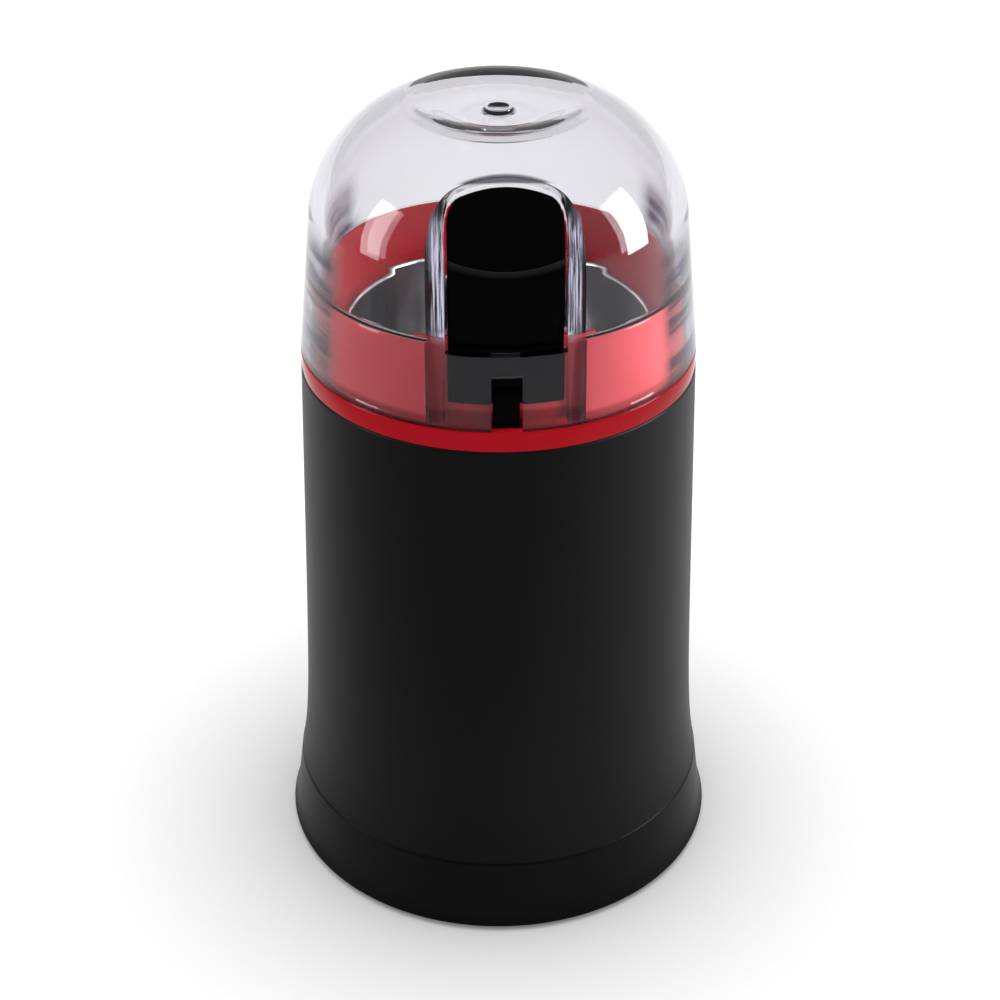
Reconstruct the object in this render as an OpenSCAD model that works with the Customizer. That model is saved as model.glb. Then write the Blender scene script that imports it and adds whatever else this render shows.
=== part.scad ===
// Electric spice grinder with a press-down button under a clear lift-off lid.
// Millimetres. Z is up, the feet stand on z = 0 and the button faces -Y.

/* [Base] */
// Largest radius of the base, at its bottom edge
base_r = 49.9; // [49:0.1:56]
// Height of the base moulding
base_h = 16; // [14:0.5:20]
// Sideways lean of the base's side, in mm per mm of height
base_lean = 0.13; // [0.05:0.01:0.16]
// Extra flare at the very bottom of the base
base_toe = 0.9; // [0.3:0.1:1.5]
// Wall of the base moulding
base_wall = 2.4; // [2:0.1:3]
// Height that the feet hold the base off the table
foot_proud = 1; // [0.6:0.1:1.6]
// Radius of a foot
foot_r = 6; // [4:0.5:7]
// Distance of the feet from the centre
foot_circle_r = 36; // [34:0.5:37]
// Thickness of the bottom cover
cover_t = 2.4; // [2:0.1:3]
// Radius of the hole for the mains lead in its bush
inlet_r = 3.4; // [2.8:0.1:3.6]
// Length of the bush at the mains inlet
inlet_l = 10; // [8:0.5:11]

/* [Sleeve] */
// Height of the sleeve between base and collar
sleeve_h = 102.4; // [100:0.2:106]
// Radius of the sleeve at its top edge
sleeve_top_r = 42.1; // [41.8:0.1:43]
// Draft of the sleeve's side, in mm per mm of height
sleeve_draft = 0.029; // [0.02:0.001:0.035]
// Extra flare of the sleeve where it meets the base
sleeve_flare = 1.83; // [1.2:0.05:2.2]
// Height over which the flare dies away
sleeve_flare_h = 9.7; // [7:0.1:12]
// Wall of the sleeve
sleeve_wall = 1.9; // [1.6:0.1:2]

/* [Housing] */
// Radius of the coloured collar
collar_r = 42; // [41.9:0.1:42.4]
// Visible height of the collar
collar_h = 4.4; // [3.6:0.1:6]
// Height of the neck above the collar
neck_h = 16.8; // [16.4:0.1:18]
// Radius of the neck at the collar
neck_foot_r = 39.5; // [39.2:0.1:39.6]
// Radius of the neck at its rim
neck_rim_r = 37.8; // [37.4:0.1:37.9]
// Wall of the neck at its rim
neck_wall = 1.6; // [1.4:0.1:2]
// Thickness of the jacket round the bowl and of the motor deck
jacket_t = 2; // [1.8:0.1:2.2]

/* [Bowl] */
// Inside radius of the grinding bowl at its mouth
bowl_r = 31.4; // [30.8:0.1:31.6]
// Depth of the bowl's rim below the neck's rim
bowl_drop = 11.4; // [11:0.1:12.6]
// Inside depth of the grinding bowl
bowl_depth = 41; // [39:0.5:42]
// Radius of the bowl's rounded bottom corner
bowl_corner_r = 9; // [8:0.5:10]
// Sheet thickness of the bowl
bowl_t = 0.8; // [0.6:0.1:1]
// Radius of the bowl's rolled rim
bowl_bead_r = 0.9; // [0.8:0.05:1]

/* [Lid] */
// Height of the lid
lid_h = 53.6; // [53:0.1:55]
// Wall of the lid round the neck
lid_wall = 1.9; // [1.6:0.05:1.9]
// Wall of the lid above the neck
lid_crown_wall = 3.4; // [3:0.1:3.6]
// Draft of the lid's side, in mm per mm of height
lid_draft = 0.1; // [0.095:0.001:0.101]
// Height of the straight side below the dome
lid_side_h = 30.2; // [29.5:0.1:30.5]
// Radius of the flat crown of the dome
crown_r = 14.4; // [13:0.2:15]
// Fullness of the dome, where 2 is an ellipse
dome_power = 1.9; // [1.8:0.02:2]
// Radius of the round dish in the crown
dish_r = 16.5; // [15.5:0.1:17]
// Depth of the dish
dish_depth = 3.2; // [2.4:0.1:3.6]
// Half width of the button channel through the lid
channel_half_w = 11.8; // [11.7:0.05:12]
// Distance of the channel's back wall from the axis
channel_back_y = 28.9; // [28.7:0.05:29]
// Wall of the channel
channel_wall = 3.2; // [3:0.1:3.4]
// Radius that the channel's back wall is bowed to
channel_bow_r = 60; // [30:5:120]
// Radius of the channel's back corners
channel_corner_r = 3.4; // [3:0.1:5]
// Height of the clear band left across the front of the channel
band_h = 15.7; // [15:0.1:16.4]
// Half width of the notch in the band
notch_half_w = 3.05; // [3:0.05:3.4]
// Height of the notch
notch_h = 11.4; // [11:0.1:12]
// Height that the lid lifts to come clear
lid_lift = 60; // [58:1:80]

/* [Button] */
// Half width of the press button
button_half_w = 11.25; // [11:0.05:11.3]
// Radius of the button's front face round the axis
button_face_r = 37.7; // [37.5:0.05:37.7]
// Height of the button's front edge over the collar
button_front_h = 36.4; // [36:0.1:37]
// Height of the button's back edge over the collar
button_back_h = 46.2; // [45.5:0.1:46.4]
// Travel of the button
button_travel = 3; // [2.5:0.1:3]
// Wall of the button
button_wall = 1.6; // [1.4:0.1:1.8]
// Half width of the tongue that runs down through the collar
tongue_half_w = 2.6; // [2.4:0.05:2.65]
// Depth of the finger dish in the button's top
finger_dish = 0.6; // [0.3:0.1:0.8]

/* [Motor] */
// Radius of the motor shaft
shaft_r = 2.5; // [2.3:0.05:2.6]
// Height of the lamination stack
stack_h = 18; // [16:0.5:19]
// Half length of the stator laminations
stator_half_l = 29; // [28:0.5:30]
// Half width of the stator laminations
stator_half_w = 23.5; // [23:0.1:24]
// Radius of the rotor
rotor_r = 14.9; // [14.5:0.1:15]
// Air gap between rotor and stator
air_gap = 0.6; // [0.5:0.05:0.8]
// Number of rotor slots
rotor_slots = 12; // [10:2:14]
// Radius of the commutator
commutator_r = 7; // [6.5:0.1:7.2]
// Number of commutator bars
commutator_bars = 24; // [20:2:28]
// Radius of the cooling fan
fan_r = 16; // [14:0.5:18]
// Number of fan blades
fan_blades = 9; // [7:1:11]
// Running clearance between a shaft and its bearing
run_gap = 0.04; // [0.02:0.01:0.08]

/* [Blade] */
// Length of the blade from tip to tip
blade_l = 50; // [46:1:54]
// Width of the blade
blade_w = 9; // [8:0.5:10]
// Thickness of the blade
blade_t = 1.4; // [1.2:0.1:1.6]
// Angle at which the blade's wings are bent
wing_angle = 14; // [8:1:16]

/* [Hidden] */
$fn = 72;

eps = 0.01;
seat = 0.05;        // gap between pieces that are pressed or pushed together
slack = 0.3;        // gap round pieces that are slid or dropped together
floor_gap = 1.6;    // gap between the bowl's floor and the motor deck

// Longer than any radius, for cuts that run off the model
reach = 1.5 * base_r;

// Heights
base_z = foot_proud;
seam_z = base_z + base_h;
collar_z = seam_z + sleeve_h;
lid_z = collar_z + collar_h;
neck_z = lid_z + neck_h;
bowl_rim_z = neck_z - bowl_drop;
bowl_floor_z = bowl_rim_z - bowl_depth;
deck_top_z = bowl_floor_z - bowl_t - floor_gap;
deck_z = deck_top_z - jacket_t;

// Outer curves, each as a radius at a height
base_steps = 10;
sleeve_steps = 16;
dome_steps = 20;
dish_steps = 8;
function base_r_at(z) = base_r - base_lean * (z - base_z)
    - base_toe * (1 - exp(-(z - base_z) / 1.7));
function sleeve_r_at(z) = sleeve_top_r + sleeve_draft * (collar_z - z)
    + sleeve_flare * exp(-(z - seam_z) / sleeve_flare_h);

// Screw circles
base_screw_angles = [30, 150, 270];
base_screw_circle_r = 37.5;
collar_screw_angles = [90, 210, 330];
collar_screw_circle_r = 37.2;
foot_angles = [60, 120, 240, 300];
screw_r = 1.4;
boss_r = 3.2;
head_r = 2.7;
head_h = 1.8;

module ring(r_out, r_in, h) {
    difference() {
        cylinder(r = r_out, h = h);
        translate([0, 0, -eps]) cylinder(r = r_in, h = h + 2 * eps);
    }
}

module at_angles(angles, r) {
    for (a = angles)
        rotate([0, 0, a])
            translate([r, 0, 0])
                children();
}

// A pan-head screw with its head down, shank up from z = 0
module screw(r, shank, head_r, head_h) {
    translate([0, 0, -head_h])
        difference() {
            cylinder(r = head_r, h = head_h);
            for (turn = [0, 90])
                rotate([0, 0, turn])
                    translate([-head_r * 0.6, -0.35, -eps])
                        cube([head_r * 1.2, 0.7, head_h * 0.55]);
        }
    cylinder(r = r, h = shank);
}

// Round wire wound as a compression spring along +Z
module coil_spring(r, wire_r, length, turns, sides = 6, steps = 12) {
    count = turns * steps;
    rise = (length - 2 * wire_r) / count;
    points = [for (i = [0:count]) for (j = [0:sides - 1])
        let (a = 360 * i / steps, b = 360 * j / sides)
        [(r + wire_r * cos(b)) * cos(a), (r + wire_r * cos(b)) * sin(a),
            wire_r + rise * i + wire_r * sin(b)]];
    skin = [for (i = [0:count - 1]) for (j = [0:sides - 1])
        let (k = (j + 1) % sides)
        [i * sides + k, (i + 1) * sides + k, (i + 1) * sides + j, i * sides + j]];
    start = [for (j = [0:sides - 1]) j];
    end = [for (j = [sides - 1:-1:0]) count * sides + j];
    polyhedron(points = points, faces = concat([start], skin, [end]), convexity = 4);
}

// ---------------------------------------------------------------- base

spigot_h = 5;
spigot_t = 1.8;
spigot_r = sleeve_r_at(seam_z + spigot_h) - sleeve_wall - slack;
ledge_z = base_z + 0.6 + cover_t;
ledge_t = 2;
ledge_r = 42.5;
cover_r = base_r_at(ledge_z) - base_wall - slack;
inlet_boss_r = inlet_r + 1.5;
inlet_flange_r = inlet_boss_r + 1;
inlet_z = seam_z - inlet_flange_r - 0.5;
inlet_lip = 1.4;
inlet_face_y = sqrt(pow(base_r_at(seam_z), 2) - pow(inlet_flange_r, 2)) + 0.1;
inlet_back_y = inlet_face_y - base_wall;

module along_y(y) {
    translate([0, y, inlet_z]) rotate([-90, 0, 0]) children();
}

module base_skirt() {
    heights = [for (i = [0:base_steps]) base_z + base_h * pow(i / base_steps, 1.6)];
    outer = [for (z = heights) [base_r_at(z), z]];
    inner = [for (i = [base_steps:-1:0]) [base_r_at(heights[i]) - base_wall, heights[i]]];
    color("#101012") difference() {
        union() {
            rotate_extrude() polygon(concat(outer, inner));
            // Shelf that the bottom cover closes against
            translate([0, 0, ledge_z]) ring(base_r_at(ledge_z + ledge_t) - 1, ledge_r, ledge_t);
            // Spigot that centres the sleeve
            translate([0, 0, seam_z - 3]) ring(base_r_at(seam_z) - 1, spigot_r - spigot_t, 3);
            translate([0, 0, seam_z - 3]) ring(spigot_r, spigot_r - spigot_t, 3 + spigot_h);
        }
        // Hole, spot face and inner pocket for the inlet bush
        along_y(0) cylinder(r = inlet_boss_r, h = reach);
        along_y(inlet_face_y) cylinder(r = inlet_flange_r + 0.15, h = 10);
        along_y(0) cylinder(r = inlet_flange_r + 0.15, h = inlet_back_y);
    }
}

post_r = boss_r;
sleeve_boss_z = seam_z + 1;
sleeve_boss_h = 18;
base_screw_l = 10;
cover_z = base_z + 0.6;
cover_top_z = cover_z + cover_t;
foot_recess = 0.8;
foot_peg_r = 1.9;
vent_w = 2.2;
vent_rings = [14, 19, 24, 29];

module vent_arc(r) {
    bridge = 6;
    for (side = [0, 180])
        rotate([0, 0, side - 50 + bridge / 2])
            rotate_extrude(angle = 100 - bridge)
                translate([r, -eps])
                    square([vent_w, cover_t + 2 * eps]);
}

module bottom_cover() {
    color("#17171a") difference() {
        union() {
            translate([0, 0, cover_z]) cylinder(r = cover_r, h = cover_t);
            // Posts that meet the sleeve's bosses
            at_angles(base_screw_angles, base_screw_circle_r)
                translate([0, 0, cover_z])
                    cylinder(r = post_r, h = sleeve_boss_z - cover_z);
        }
        for (r = vent_rings) translate([0, 0, cover_z]) vent_arc(r);
        at_angles(base_screw_angles, base_screw_circle_r) {
            translate([0, 0, cover_z - eps]) cylinder(r = head_r + slack, h = head_h + 0.4);
            translate([0, 0, cover_z]) cylinder(r = screw_r + slack / 2, h = sleeve_boss_z);
        }
        at_angles(foot_angles, foot_circle_r) {
            translate([0, 0, cover_z - eps]) cylinder(r = foot_r + seat, h = foot_recess);
            translate([0, 0, cover_z]) cylinder(r = foot_peg_r + seat, h = cover_t + eps);
        }
    }
}

module rubber_feet() {
    color("#26262a") at_angles(foot_angles, foot_circle_r) {
        rotate_extrude()
            polygon([[0, 0], [foot_r - 0.6, 0], [foot_r, 0.6],
                [foot_r, cover_z + foot_recess - seat], [0, cover_z + foot_recess - seat]]);
        translate([0, 0, 1]) cylinder(r = foot_peg_r, h = cover_top_z - 1);
    }
}

module base_screws() {
    color("silver") at_angles(base_screw_angles, base_screw_circle_r)
        translate([0, 0, cover_z + head_h + 0.4 - eps])
            screw(screw_r, sleeve_boss_z + base_screw_l - 1 - cover_z - head_h, head_r, head_h);
}

// Bush that the mains lead leaves by, snapped into the back of the base
module cord_inlet_bush() {
    flange = inlet_flange_r;
    color("#1b1b1e") difference() {
        union() {
            along_y(inlet_face_y + seat)
                rotate_extrude()
                    polygon([[0, 0], [flange, 0], [flange, inlet_lip - 0.6], [flange - 0.6, inlet_lip],
                        [0, inlet_lip]]);
            along_y(inlet_face_y + inlet_lip - inlet_l)
                cylinder(r = inlet_boss_r - seat, h = inlet_l - inlet_lip + 1);
            along_y(inlet_back_y - inlet_lip - seat) cylinder(r = flange, h = inlet_lip);
        }
        along_y(0) cylinder(r = inlet_r, h = reach);
    }
}

// ---------------------------------------------------------------- sleeve

sleeve_lip = 0.5;
flange_z = collar_z - 11;
flange_t = 2.4;
flange_r = 35.4;
stem_notch_half_w = tongue_half_w + 1.2;

module outer_sleeve() {
    heights = [for (i = [0:sleeve_steps]) seam_z + sleeve_h * pow(i / sleeve_steps, 1.5)];
    outer = [for (z = heights) [sleeve_r_at(z), z]];
    inner = [for (i = [sleeve_steps:-1:0]) [sleeve_r_at(heights[i]) - sleeve_wall, heights[i]]];
    trimmed = [for (p = outer) if (p[1] < collar_z - 1) p];
    rolled = [[sleeve_r_at(collar_z - sleeve_lip), collar_z - sleeve_lip],
        [sleeve_r_at(collar_z) - sleeve_lip, collar_z]];
    color("#1c1c1f") {
        difference() {
            union() {
                rotate_extrude() polygon(concat(trimmed, rolled, inner));
                // Inner flange that the upper housing is screwed to
                translate([0, 0, flange_z])
                    ring(sleeve_r_at(flange_z + flange_t) - 1, flange_r, flange_t);
            }
            at_angles(collar_screw_angles, collar_screw_circle_r)
                translate([0, 0, flange_z - 1]) cylinder(r = screw_r + slack / 2, h = flange_t + 2);
            translate([-stem_notch_half_w, -sleeve_r_at(flange_z) + sleeve_wall, flange_z - 1])
                cube([2 * stem_notch_half_w, 6, flange_t + 2]);
        }
        difference() {
            at_angles(base_screw_angles, base_screw_circle_r) {
                translate([0, 0, sleeve_boss_z]) cylinder(r = boss_r, h = sleeve_boss_h);
                // Rib from boss to wall, above the base's spigot
                translate([0, -1, seam_z + spigot_h + slack])
                    cube([sleeve_r_at(seam_z + sleeve_boss_h) - base_screw_circle_r - 1, 2,
                        sleeve_boss_h - spigot_h]);
            }
            at_angles(base_screw_angles, base_screw_circle_r)
                translate([0, 0, sleeve_boss_z - 1])
                    cylinder(r = screw_r + seat, h = base_screw_l + 4);
        }
    }
}

// ---------------------------------------------------------------- upper housing

jacket_in_r = bowl_r + bowl_t + slack + 0.1;
bead_r = bowl_r + bowl_t + 0.3;
jacket_r = jacket_in_r + jacket_t;
collar_spigot_r = sleeve_r_at(collar_z) - sleeve_wall - slack;
collar_spigot_h = 4;
rim_seat_z = bowl_rim_z - 2 * bowl_bead_r;
recess_half_w = channel_half_w + channel_wall + 0.5;
recess_r = 35.3;
pad_in_r = recess_r - neck_wall;
tongue_front_y = 39.7;
tongue_back_y = 36.2;
slot_gap = 0.45;
deck_boss_h = 3;
deck_boss_r = 5;
motor_screw_x = 25;
motor_screw_r = 1.9;
bush_r = 5;
bush_flange_r = 9;
pin_r = 1;
pin_y = 38;
spring_seat_z = collar_z - 24.4;
shelf_t = 2;
shelf_in = pin_y + 1.7;
rib_h = 6;

// Space in front of the neck for the button's skirt and the channel's side walls
module neck_front_recess() {
    difference() {
        translate([-recess_half_w, -collar_r - 1, lid_z])
            cube([2 * recess_half_w, collar_r, neck_h + 1]);
        translate([0, 0, lid_z - 1]) cylinder(r = recess_r, h = neck_h + 3);
    }
}

module upper_housing() {
    funnel_r = bead_r + bowl_bead_r + 0.2;
    pin_hole_r = pin_r + slack;
    groove_top_z = collar_z + 2;
    pad_h = neck_z - bowl_rim_z - 1;
    color("#b3121c") {
        difference() {
            union() {
                // Collar, neck and funnel in one turned form
                rotate_extrude()
                    polygon([[collar_spigot_r, collar_z - collar_spigot_h], [collar_spigot_r, collar_z],
                        [collar_r, collar_z], [collar_r, lid_z - 0.4], [collar_r - 0.4, lid_z],
                        [neck_foot_r, lid_z], [neck_rim_r, neck_z - 0.5], [neck_rim_r - 0.5, neck_z],
                        [neck_rim_r - neck_wall + 0.5, neck_z], [neck_rim_r - neck_wall, neck_z - 0.5],
                        [funnel_r, bowl_rim_z + 1],
                        [funnel_r, rim_seat_z], [jacket_in_r, rim_seat_z],
                        [jacket_in_r, deck_top_z], [bush_r + seat, deck_top_z], [bush_r + seat, deck_z],
                        [jacket_r, deck_z], [jacket_r, groove_top_z],
                        [collar_spigot_r - 1.8, groove_top_z],
                        [collar_spigot_r - 1.8, collar_z - collar_spigot_h]]);
                // Boss under the middle of the bowl
                translate([0, 0, deck_top_z - eps])
                    ring(bush_flange_r + 1, bush_r + seat, bowl_floor_z - bowl_t - deck_top_z);
                // Bosses for the two long motor screws
                for (side = [-1, 1])
                    translate([side * motor_screw_x, 0, deck_z - deck_boss_h])
                        cylinder(r = deck_boss_r, h = deck_boss_h + 1);
                // Bosses for the screws from the sleeve's flange
                intersection() {
                    at_angles(collar_screw_angles, collar_screw_circle_r)
                        translate([0, 0, flange_z + flange_t + seat])
                            cylinder(r = 2.7, h = collar_z - flange_z - flange_t - seat);
                    cylinder(r = collar_spigot_r, h = collar_z);
                }
                // Shelf under the button's return spring
                translate([-tongue_half_w - 1, -shelf_in, spring_seat_z - shelf_t])
                    cube([2 * tongue_half_w + 2, shelf_in - jacket_in_r - 0.5, shelf_t]);
                // Ribs that steady the shelf
                for (side = [-1, 1])
                    translate([side * (tongue_half_w + 0.5) - 0.5, 0.2 - shelf_in,
                        spring_seat_z - rib_h])
                        cube([1, shelf_in - jacket_in_r - 0.7, rib_h]);
            }
            neck_front_recess();
            // Slot for the tongue, down through collar and spigot
            translate([-tongue_half_w - slot_gap, -tongue_front_y - slot_gap,
                collar_z - collar_spigot_h - 1])
                cube([2 * (tongue_half_w + slot_gap), tongue_front_y - tongue_back_y + 2 * slot_gap,
                    collar_h + collar_spigot_h + 2]);
            translate([0, -pin_y, spring_seat_z - shelf_t - 1])
                cylinder(r = pin_hole_r, h = shelf_t + 2);
            for (side = [-1, 1])
                translate([side * motor_screw_x, 0, deck_z - deck_boss_h - 1])
                    cylinder(r = motor_screw_r + seat, h = deck_boss_h + 1 + jacket_t - 0.4);
            at_angles(collar_screw_angles, collar_screw_circle_r)
                translate([0, 0, flange_z]) cylinder(r = screw_r + seat, h = flange_t + 6);
        }
        // Inner wall that closes the neck behind its front recess
        intersection() {
            translate([0, 0, bowl_rim_z + 1]) union() {
                ring(recess_r, pad_in_r, pad_h);
                difference() {
                    ring(neck_rim_r - 0.4, pad_in_r, pad_h);
                    translate([-recess_half_w, -reach, -1]) cube([2 * recess_half_w, reach, pad_h + 2]);
                }
            }
            translate([-recess_half_w - neck_wall, -reach, 0])
                cube([2 * (recess_half_w + neck_wall), reach - pad_in_r / 2, neck_z]);
        }
    }
}

module collar_screws() {
    color("silver") at_angles(collar_screw_angles, collar_screw_circle_r)
        translate([0, 0, flange_z]) screw(screw_r, flange_t + 5, 2.3, 1.5);
}

// ---------------------------------------------------------------- bowl and its bush

bowl_foot_r = bowl_r - 1.6;

module grinding_bowl() {
    corner = bowl_corner_r;
    corner_z = bowl_floor_z + corner;
    corner_steps = 8;
    turns = [for (i = [0:corner_steps]) -90 + 90 * i / corner_steps];
    inner = [for (a = turns)
        [bowl_foot_r - corner + corner * cos(a), corner_z + corner * sin(a)]];
    outer = [for (i = [corner_steps:-1:0])
        let (a = turns[i], r = corner + bowl_t)
        [bowl_foot_r - corner + r * cos(a), corner_z + r * sin(a)]];
    bead_z = bowl_rim_z - bowl_bead_r;
    color("#c8cacc") {
        rotate_extrude()
            polygon(concat([[bush_r + seat, bowl_floor_z]], inner,
                [[bowl_r, bead_z], [bowl_r + bowl_t, bead_z]], outer,
                [[bush_r + seat, bowl_floor_z - bowl_t]]));
        // Rolled rim that sits on the housing's seat
        translate([0, 0, bead_z])
            rotate_extrude()
                translate([bead_r, 0]) circle(r = bowl_bead_r - seat);
    }
}

bush_top_z = bowl_floor_z + 1.4;
nut_t = 2.6;
bush_end_z = deck_z - nut_t - 0.5;
bush_bore_r = shaft_r + slack;
seal_r = 5;

module bowl_bush() {
    color("#a8a9ad") difference() {
        union() {
            translate([0, 0, bowl_floor_z]) cylinder(r = bush_flange_r, h = bush_top_z - bowl_floor_z);
            translate([0, 0, bush_end_z]) cylinder(r = bush_r, h = bush_top_z - bush_end_z);
        }
        translate([0, 0, bush_end_z - 1])
            cylinder(r = bush_bore_r, h = bush_top_z - bush_end_z + 2);
        translate([0, 0, bush_top_z - 1]) cylinder(r = seal_r + seat, h = 2);
    }
}

module bowl_nut() {
    color("#8f9095") translate([0, 0, deck_z - nut_t]) difference() {
        cylinder(r = bush_r + 3.6, h = nut_t - eps, $fn = 6);
        translate([0, 0, -1]) cylinder(r = bush_r + seat, h = nut_t + 2);
    }
}

module shaft_seal() {
    color("#2a2a2d") translate([0, 0, bush_top_z - 1 + eps])
        ring(seal_r, shaft_r + 0.1, 1.3);
}

// ---------------------------------------------------------------- motor

bridge_t = 3;
mount_t = 2;
upper_bridge_z = deck_z - deck_boss_h - mount_t - bridge_t;
fan_room = 14;
stack_z = upper_bridge_z - fan_room - stack_h;

stack_top_z = stack_z + stack_h;
stator_r = rotor_r + air_gap;
window_in_r = stator_r + 1.8;
window_out_r = window_in_r + 3.6;
window_from = 47;
leg_r = 4;
bearing_r = 5;
bearing_l = 7;
upper_bearing_z = upper_bridge_z - bridge_t;
commutator_l = 9.5;
commutator_gap = 5.5;
lower_bridge_z = stack_z - commutator_gap - commutator_l - 6;
lower_bearing_z = lower_bridge_z - 1.5;
bore_gap = 0.15;

module motor_hole(h) {
    for (side = [-1, 1])
        translate([side * motor_screw_x, 0, -1]) cylinder(r = motor_screw_r + bore_gap, h = h + 2);
}

module stator_core() {
    color("#6d6f73") translate([0, 0, stack_z]) difference() {
        linear_extrude(stack_h) difference() {
            intersection() {
                circle(r = stator_half_l);
                square([2 * stator_half_l, 2 * stator_half_w], center = true);
            }
            circle(r = stator_r);
            for (side = [0, 180]) rotate(side) {
                // Winding window and the gap between the pole tips
                difference() {
                    circle(r = window_out_r);
                    circle(r = window_in_r);
                    for (turn = [-window_from, window_from])
                        rotate(turn)
                            translate([-reach, -reach])
                                square([2 * reach, reach]);
                }
                translate([-3, 0]) square([6, window_in_r + 1]);
            }
        }
        motor_hole(stack_h);
    }
}

// Each coil loops round one pole: a sector with the pole's window taken out
module field_coils() {
    coil_in_r = window_in_r + slack;
    coil_out_r = window_out_r - slack;
    leg_to = 79;
    leg_from = window_from + 3;
    end_h = 5;
    color("#a8571f") for (side = [0, 180]) rotate([0, 0, side]) difference() {
        translate([0, 0, stack_z - slack - end_h])
            rotate([0, 0, -leg_to])
                rotate_extrude(angle = 2 * leg_to)
                    translate([coil_in_r, 0])
                        square([coil_out_r - coil_in_r, stack_h + 2 * (slack + end_h)]);
        translate([0, 0, stack_z - slack])
            rotate([0, 0, -leg_from])
                rotate_extrude(angle = 2 * leg_from)
                    translate([coil_in_r - 1, 0])
                        square([coil_out_r - coil_in_r + 2, stack_h + 2 * slack]);
    }
}

module bridge_bar(half_w) {
    intersection() {
        circle(r = motor_screw_x + leg_r / 2);
        square([2 * (motor_screw_x + leg_r), 2 * half_w], center = true);
    }
}

module upper_bridge() {
    color("#9a9ca1") difference() {
        union() {
            translate([0, 0, upper_bridge_z]) linear_extrude(bridge_t) bridge_bar(bearing_r + 2);
            translate([0, 0, upper_bearing_z]) cylinder(r = bearing_r + 2, h = bearing_l);
            for (side = [-1, 1])
                translate([side * motor_screw_x, 0, stack_top_z])
                    cylinder(r = leg_r, h = upper_bridge_z - stack_top_z + 1);
        }
        translate([0, 0, upper_bearing_z - 1]) cylinder(r = bearing_r + seat, h = bearing_l + 2);
        translate([0, 0, stack_top_z]) motor_hole(upper_bridge_z + bridge_t - stack_top_z);
    }
}

module lower_bridge() {
    holder_seat = 1.5;
    color("#2b2b2e") difference() {
        union() {
            translate([0, 0, lower_bridge_z]) linear_extrude(bridge_t) bridge_bar(brush_w + 3);
            translate([0, 0, lower_bearing_z]) cylinder(r = bearing_r + 2, h = bearing_l);
            for (side = [-1, 1])
                translate([side * motor_screw_x, 0, lower_bridge_z])
                    cylinder(r = leg_r, h = stack_z - lower_bridge_z);
            // Seats of the brush holders
            for (side = [0, 180])
                rotate([0, 0, side])
                    translate([holder_from + 2, -holder_w / 2 - holder_seat, lower_bridge_z])
                        cube([8, holder_w + 2 * holder_seat, brush_mid_z - lower_bridge_z]);
        }
        translate([0, 0, lower_bearing_z - 1]) cylinder(r = bearing_r + seat, h = bearing_l + 2);
        translate([0, 0, lower_bridge_z]) motor_hole(stack_z - lower_bridge_z);
        brush_holder_space();
    }
}

module bearing(z) {
    color("#b08a4a") translate([0, 0, z]) ring(bearing_r, shaft_r + run_gap, bearing_l);
}

module motor_screws() {
    end_z = deck_z + jacket_t - 1;
    color("silver") for (side = [-1, 1])
        translate([side * motor_screw_x, 0, lower_bridge_z])
            screw(motor_screw_r, end_z - lower_bridge_z, 3.4, 2.2);
}

module motor_mounts() {
    mount_z = upper_bridge_z + bridge_t;
    color("#303034") for (side = [-1, 1])
        translate([side * motor_screw_x, 0, mount_z])
            ring(deck_boss_r, motor_screw_r + bore_gap, deck_z - deck_boss_h - mount_z);
}

// Brush gear, one set on each side along X
brush_w = 6;
brush_h = 5;
brush_l = 8;
holder_t = 0.8;
holder_w = brush_w + 2 * holder_t + 0.2;
holder_h = brush_h + 2 * holder_t + 0.2;
holder_from = commutator_r + 2;
holder_l = 11.5;
commutator_z = stack_z - commutator_gap - commutator_l;
brush_mid_z = commutator_z + commutator_l / 2 - 0.5;
brush_tip = commutator_r + slack;

module brush_holder_space() {
    for (side = [0, 180]) rotate([0, 0, side])
        translate([holder_from - 1, -holder_w / 2 - seat, brush_mid_z - holder_h / 2 - seat])
            cube([holder_l + 2, holder_w + 2 * seat, holder_h + 2 * seat]);
}

module brush_holders() {
    color("#c9a24b") for (side = [0, 180]) rotate([0, 0, side]) difference() {
        translate([holder_from, -holder_w / 2, brush_mid_z - holder_h / 2])
            cube([holder_l, holder_w, holder_h]);
        translate([holder_from - 1, -brush_w / 2 - 0.1, brush_mid_z - brush_h / 2 - 0.1])
            cube([holder_l + 1 - holder_t, brush_w + 0.2, brush_h + 0.2]);
    }
}

module carbon_brushes() {
    color("#3a3a3c") for (side = [0, 180]) rotate([0, 0, side]) difference() {
        translate([commutator_r - 1, -brush_w / 2, brush_mid_z - brush_h / 2])
            cube([brush_l + 1, brush_w, brush_h]);
        translate([0, 0, brush_mid_z - brush_h]) cylinder(r = brush_tip, h = 2 * brush_h);
    }
}

module brush_springs() {
    from_x = commutator_r + brush_l + seat;
    to_x = holder_from + holder_l - holder_t - seat;
    color("silver") for (side = [0, 180]) rotate([0, 0, side])
        translate([from_x, 0, brush_mid_z])
            rotate([0, 90, 0]) coil_spring(1.9, 0.25, to_x - from_x, 5);
}

// ---------------------------------------------------------------- rotor

shaft_top_z = bush_top_z + 8.4;
winding_h = 4.5;
slot_r = 1.5;
slot_circle_r = rotor_r - 3.2;
fan_z = stack_top_z + winding_h + 1.3;

module motor_shaft() {
    color("#b9bbc0") translate([0, 0, lower_bearing_z - 1])
        cylinder(r = shaft_r, h = shaft_top_z - lower_bearing_z + 1);
}

module rotor_core() {
    color("#77797d") translate([0, 0, stack_z]) linear_extrude(stack_h) difference() {
        circle(r = rotor_r);
        circle(r = shaft_r + seat);
        for (i = [0:rotor_slots - 1]) rotate(360 * i / rotor_slots) {
            translate([slot_circle_r, 0]) circle(r = slot_r, $fn = 24);
            translate([slot_circle_r, -0.5]) square([5, 1]);
        }
    }
}

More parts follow.
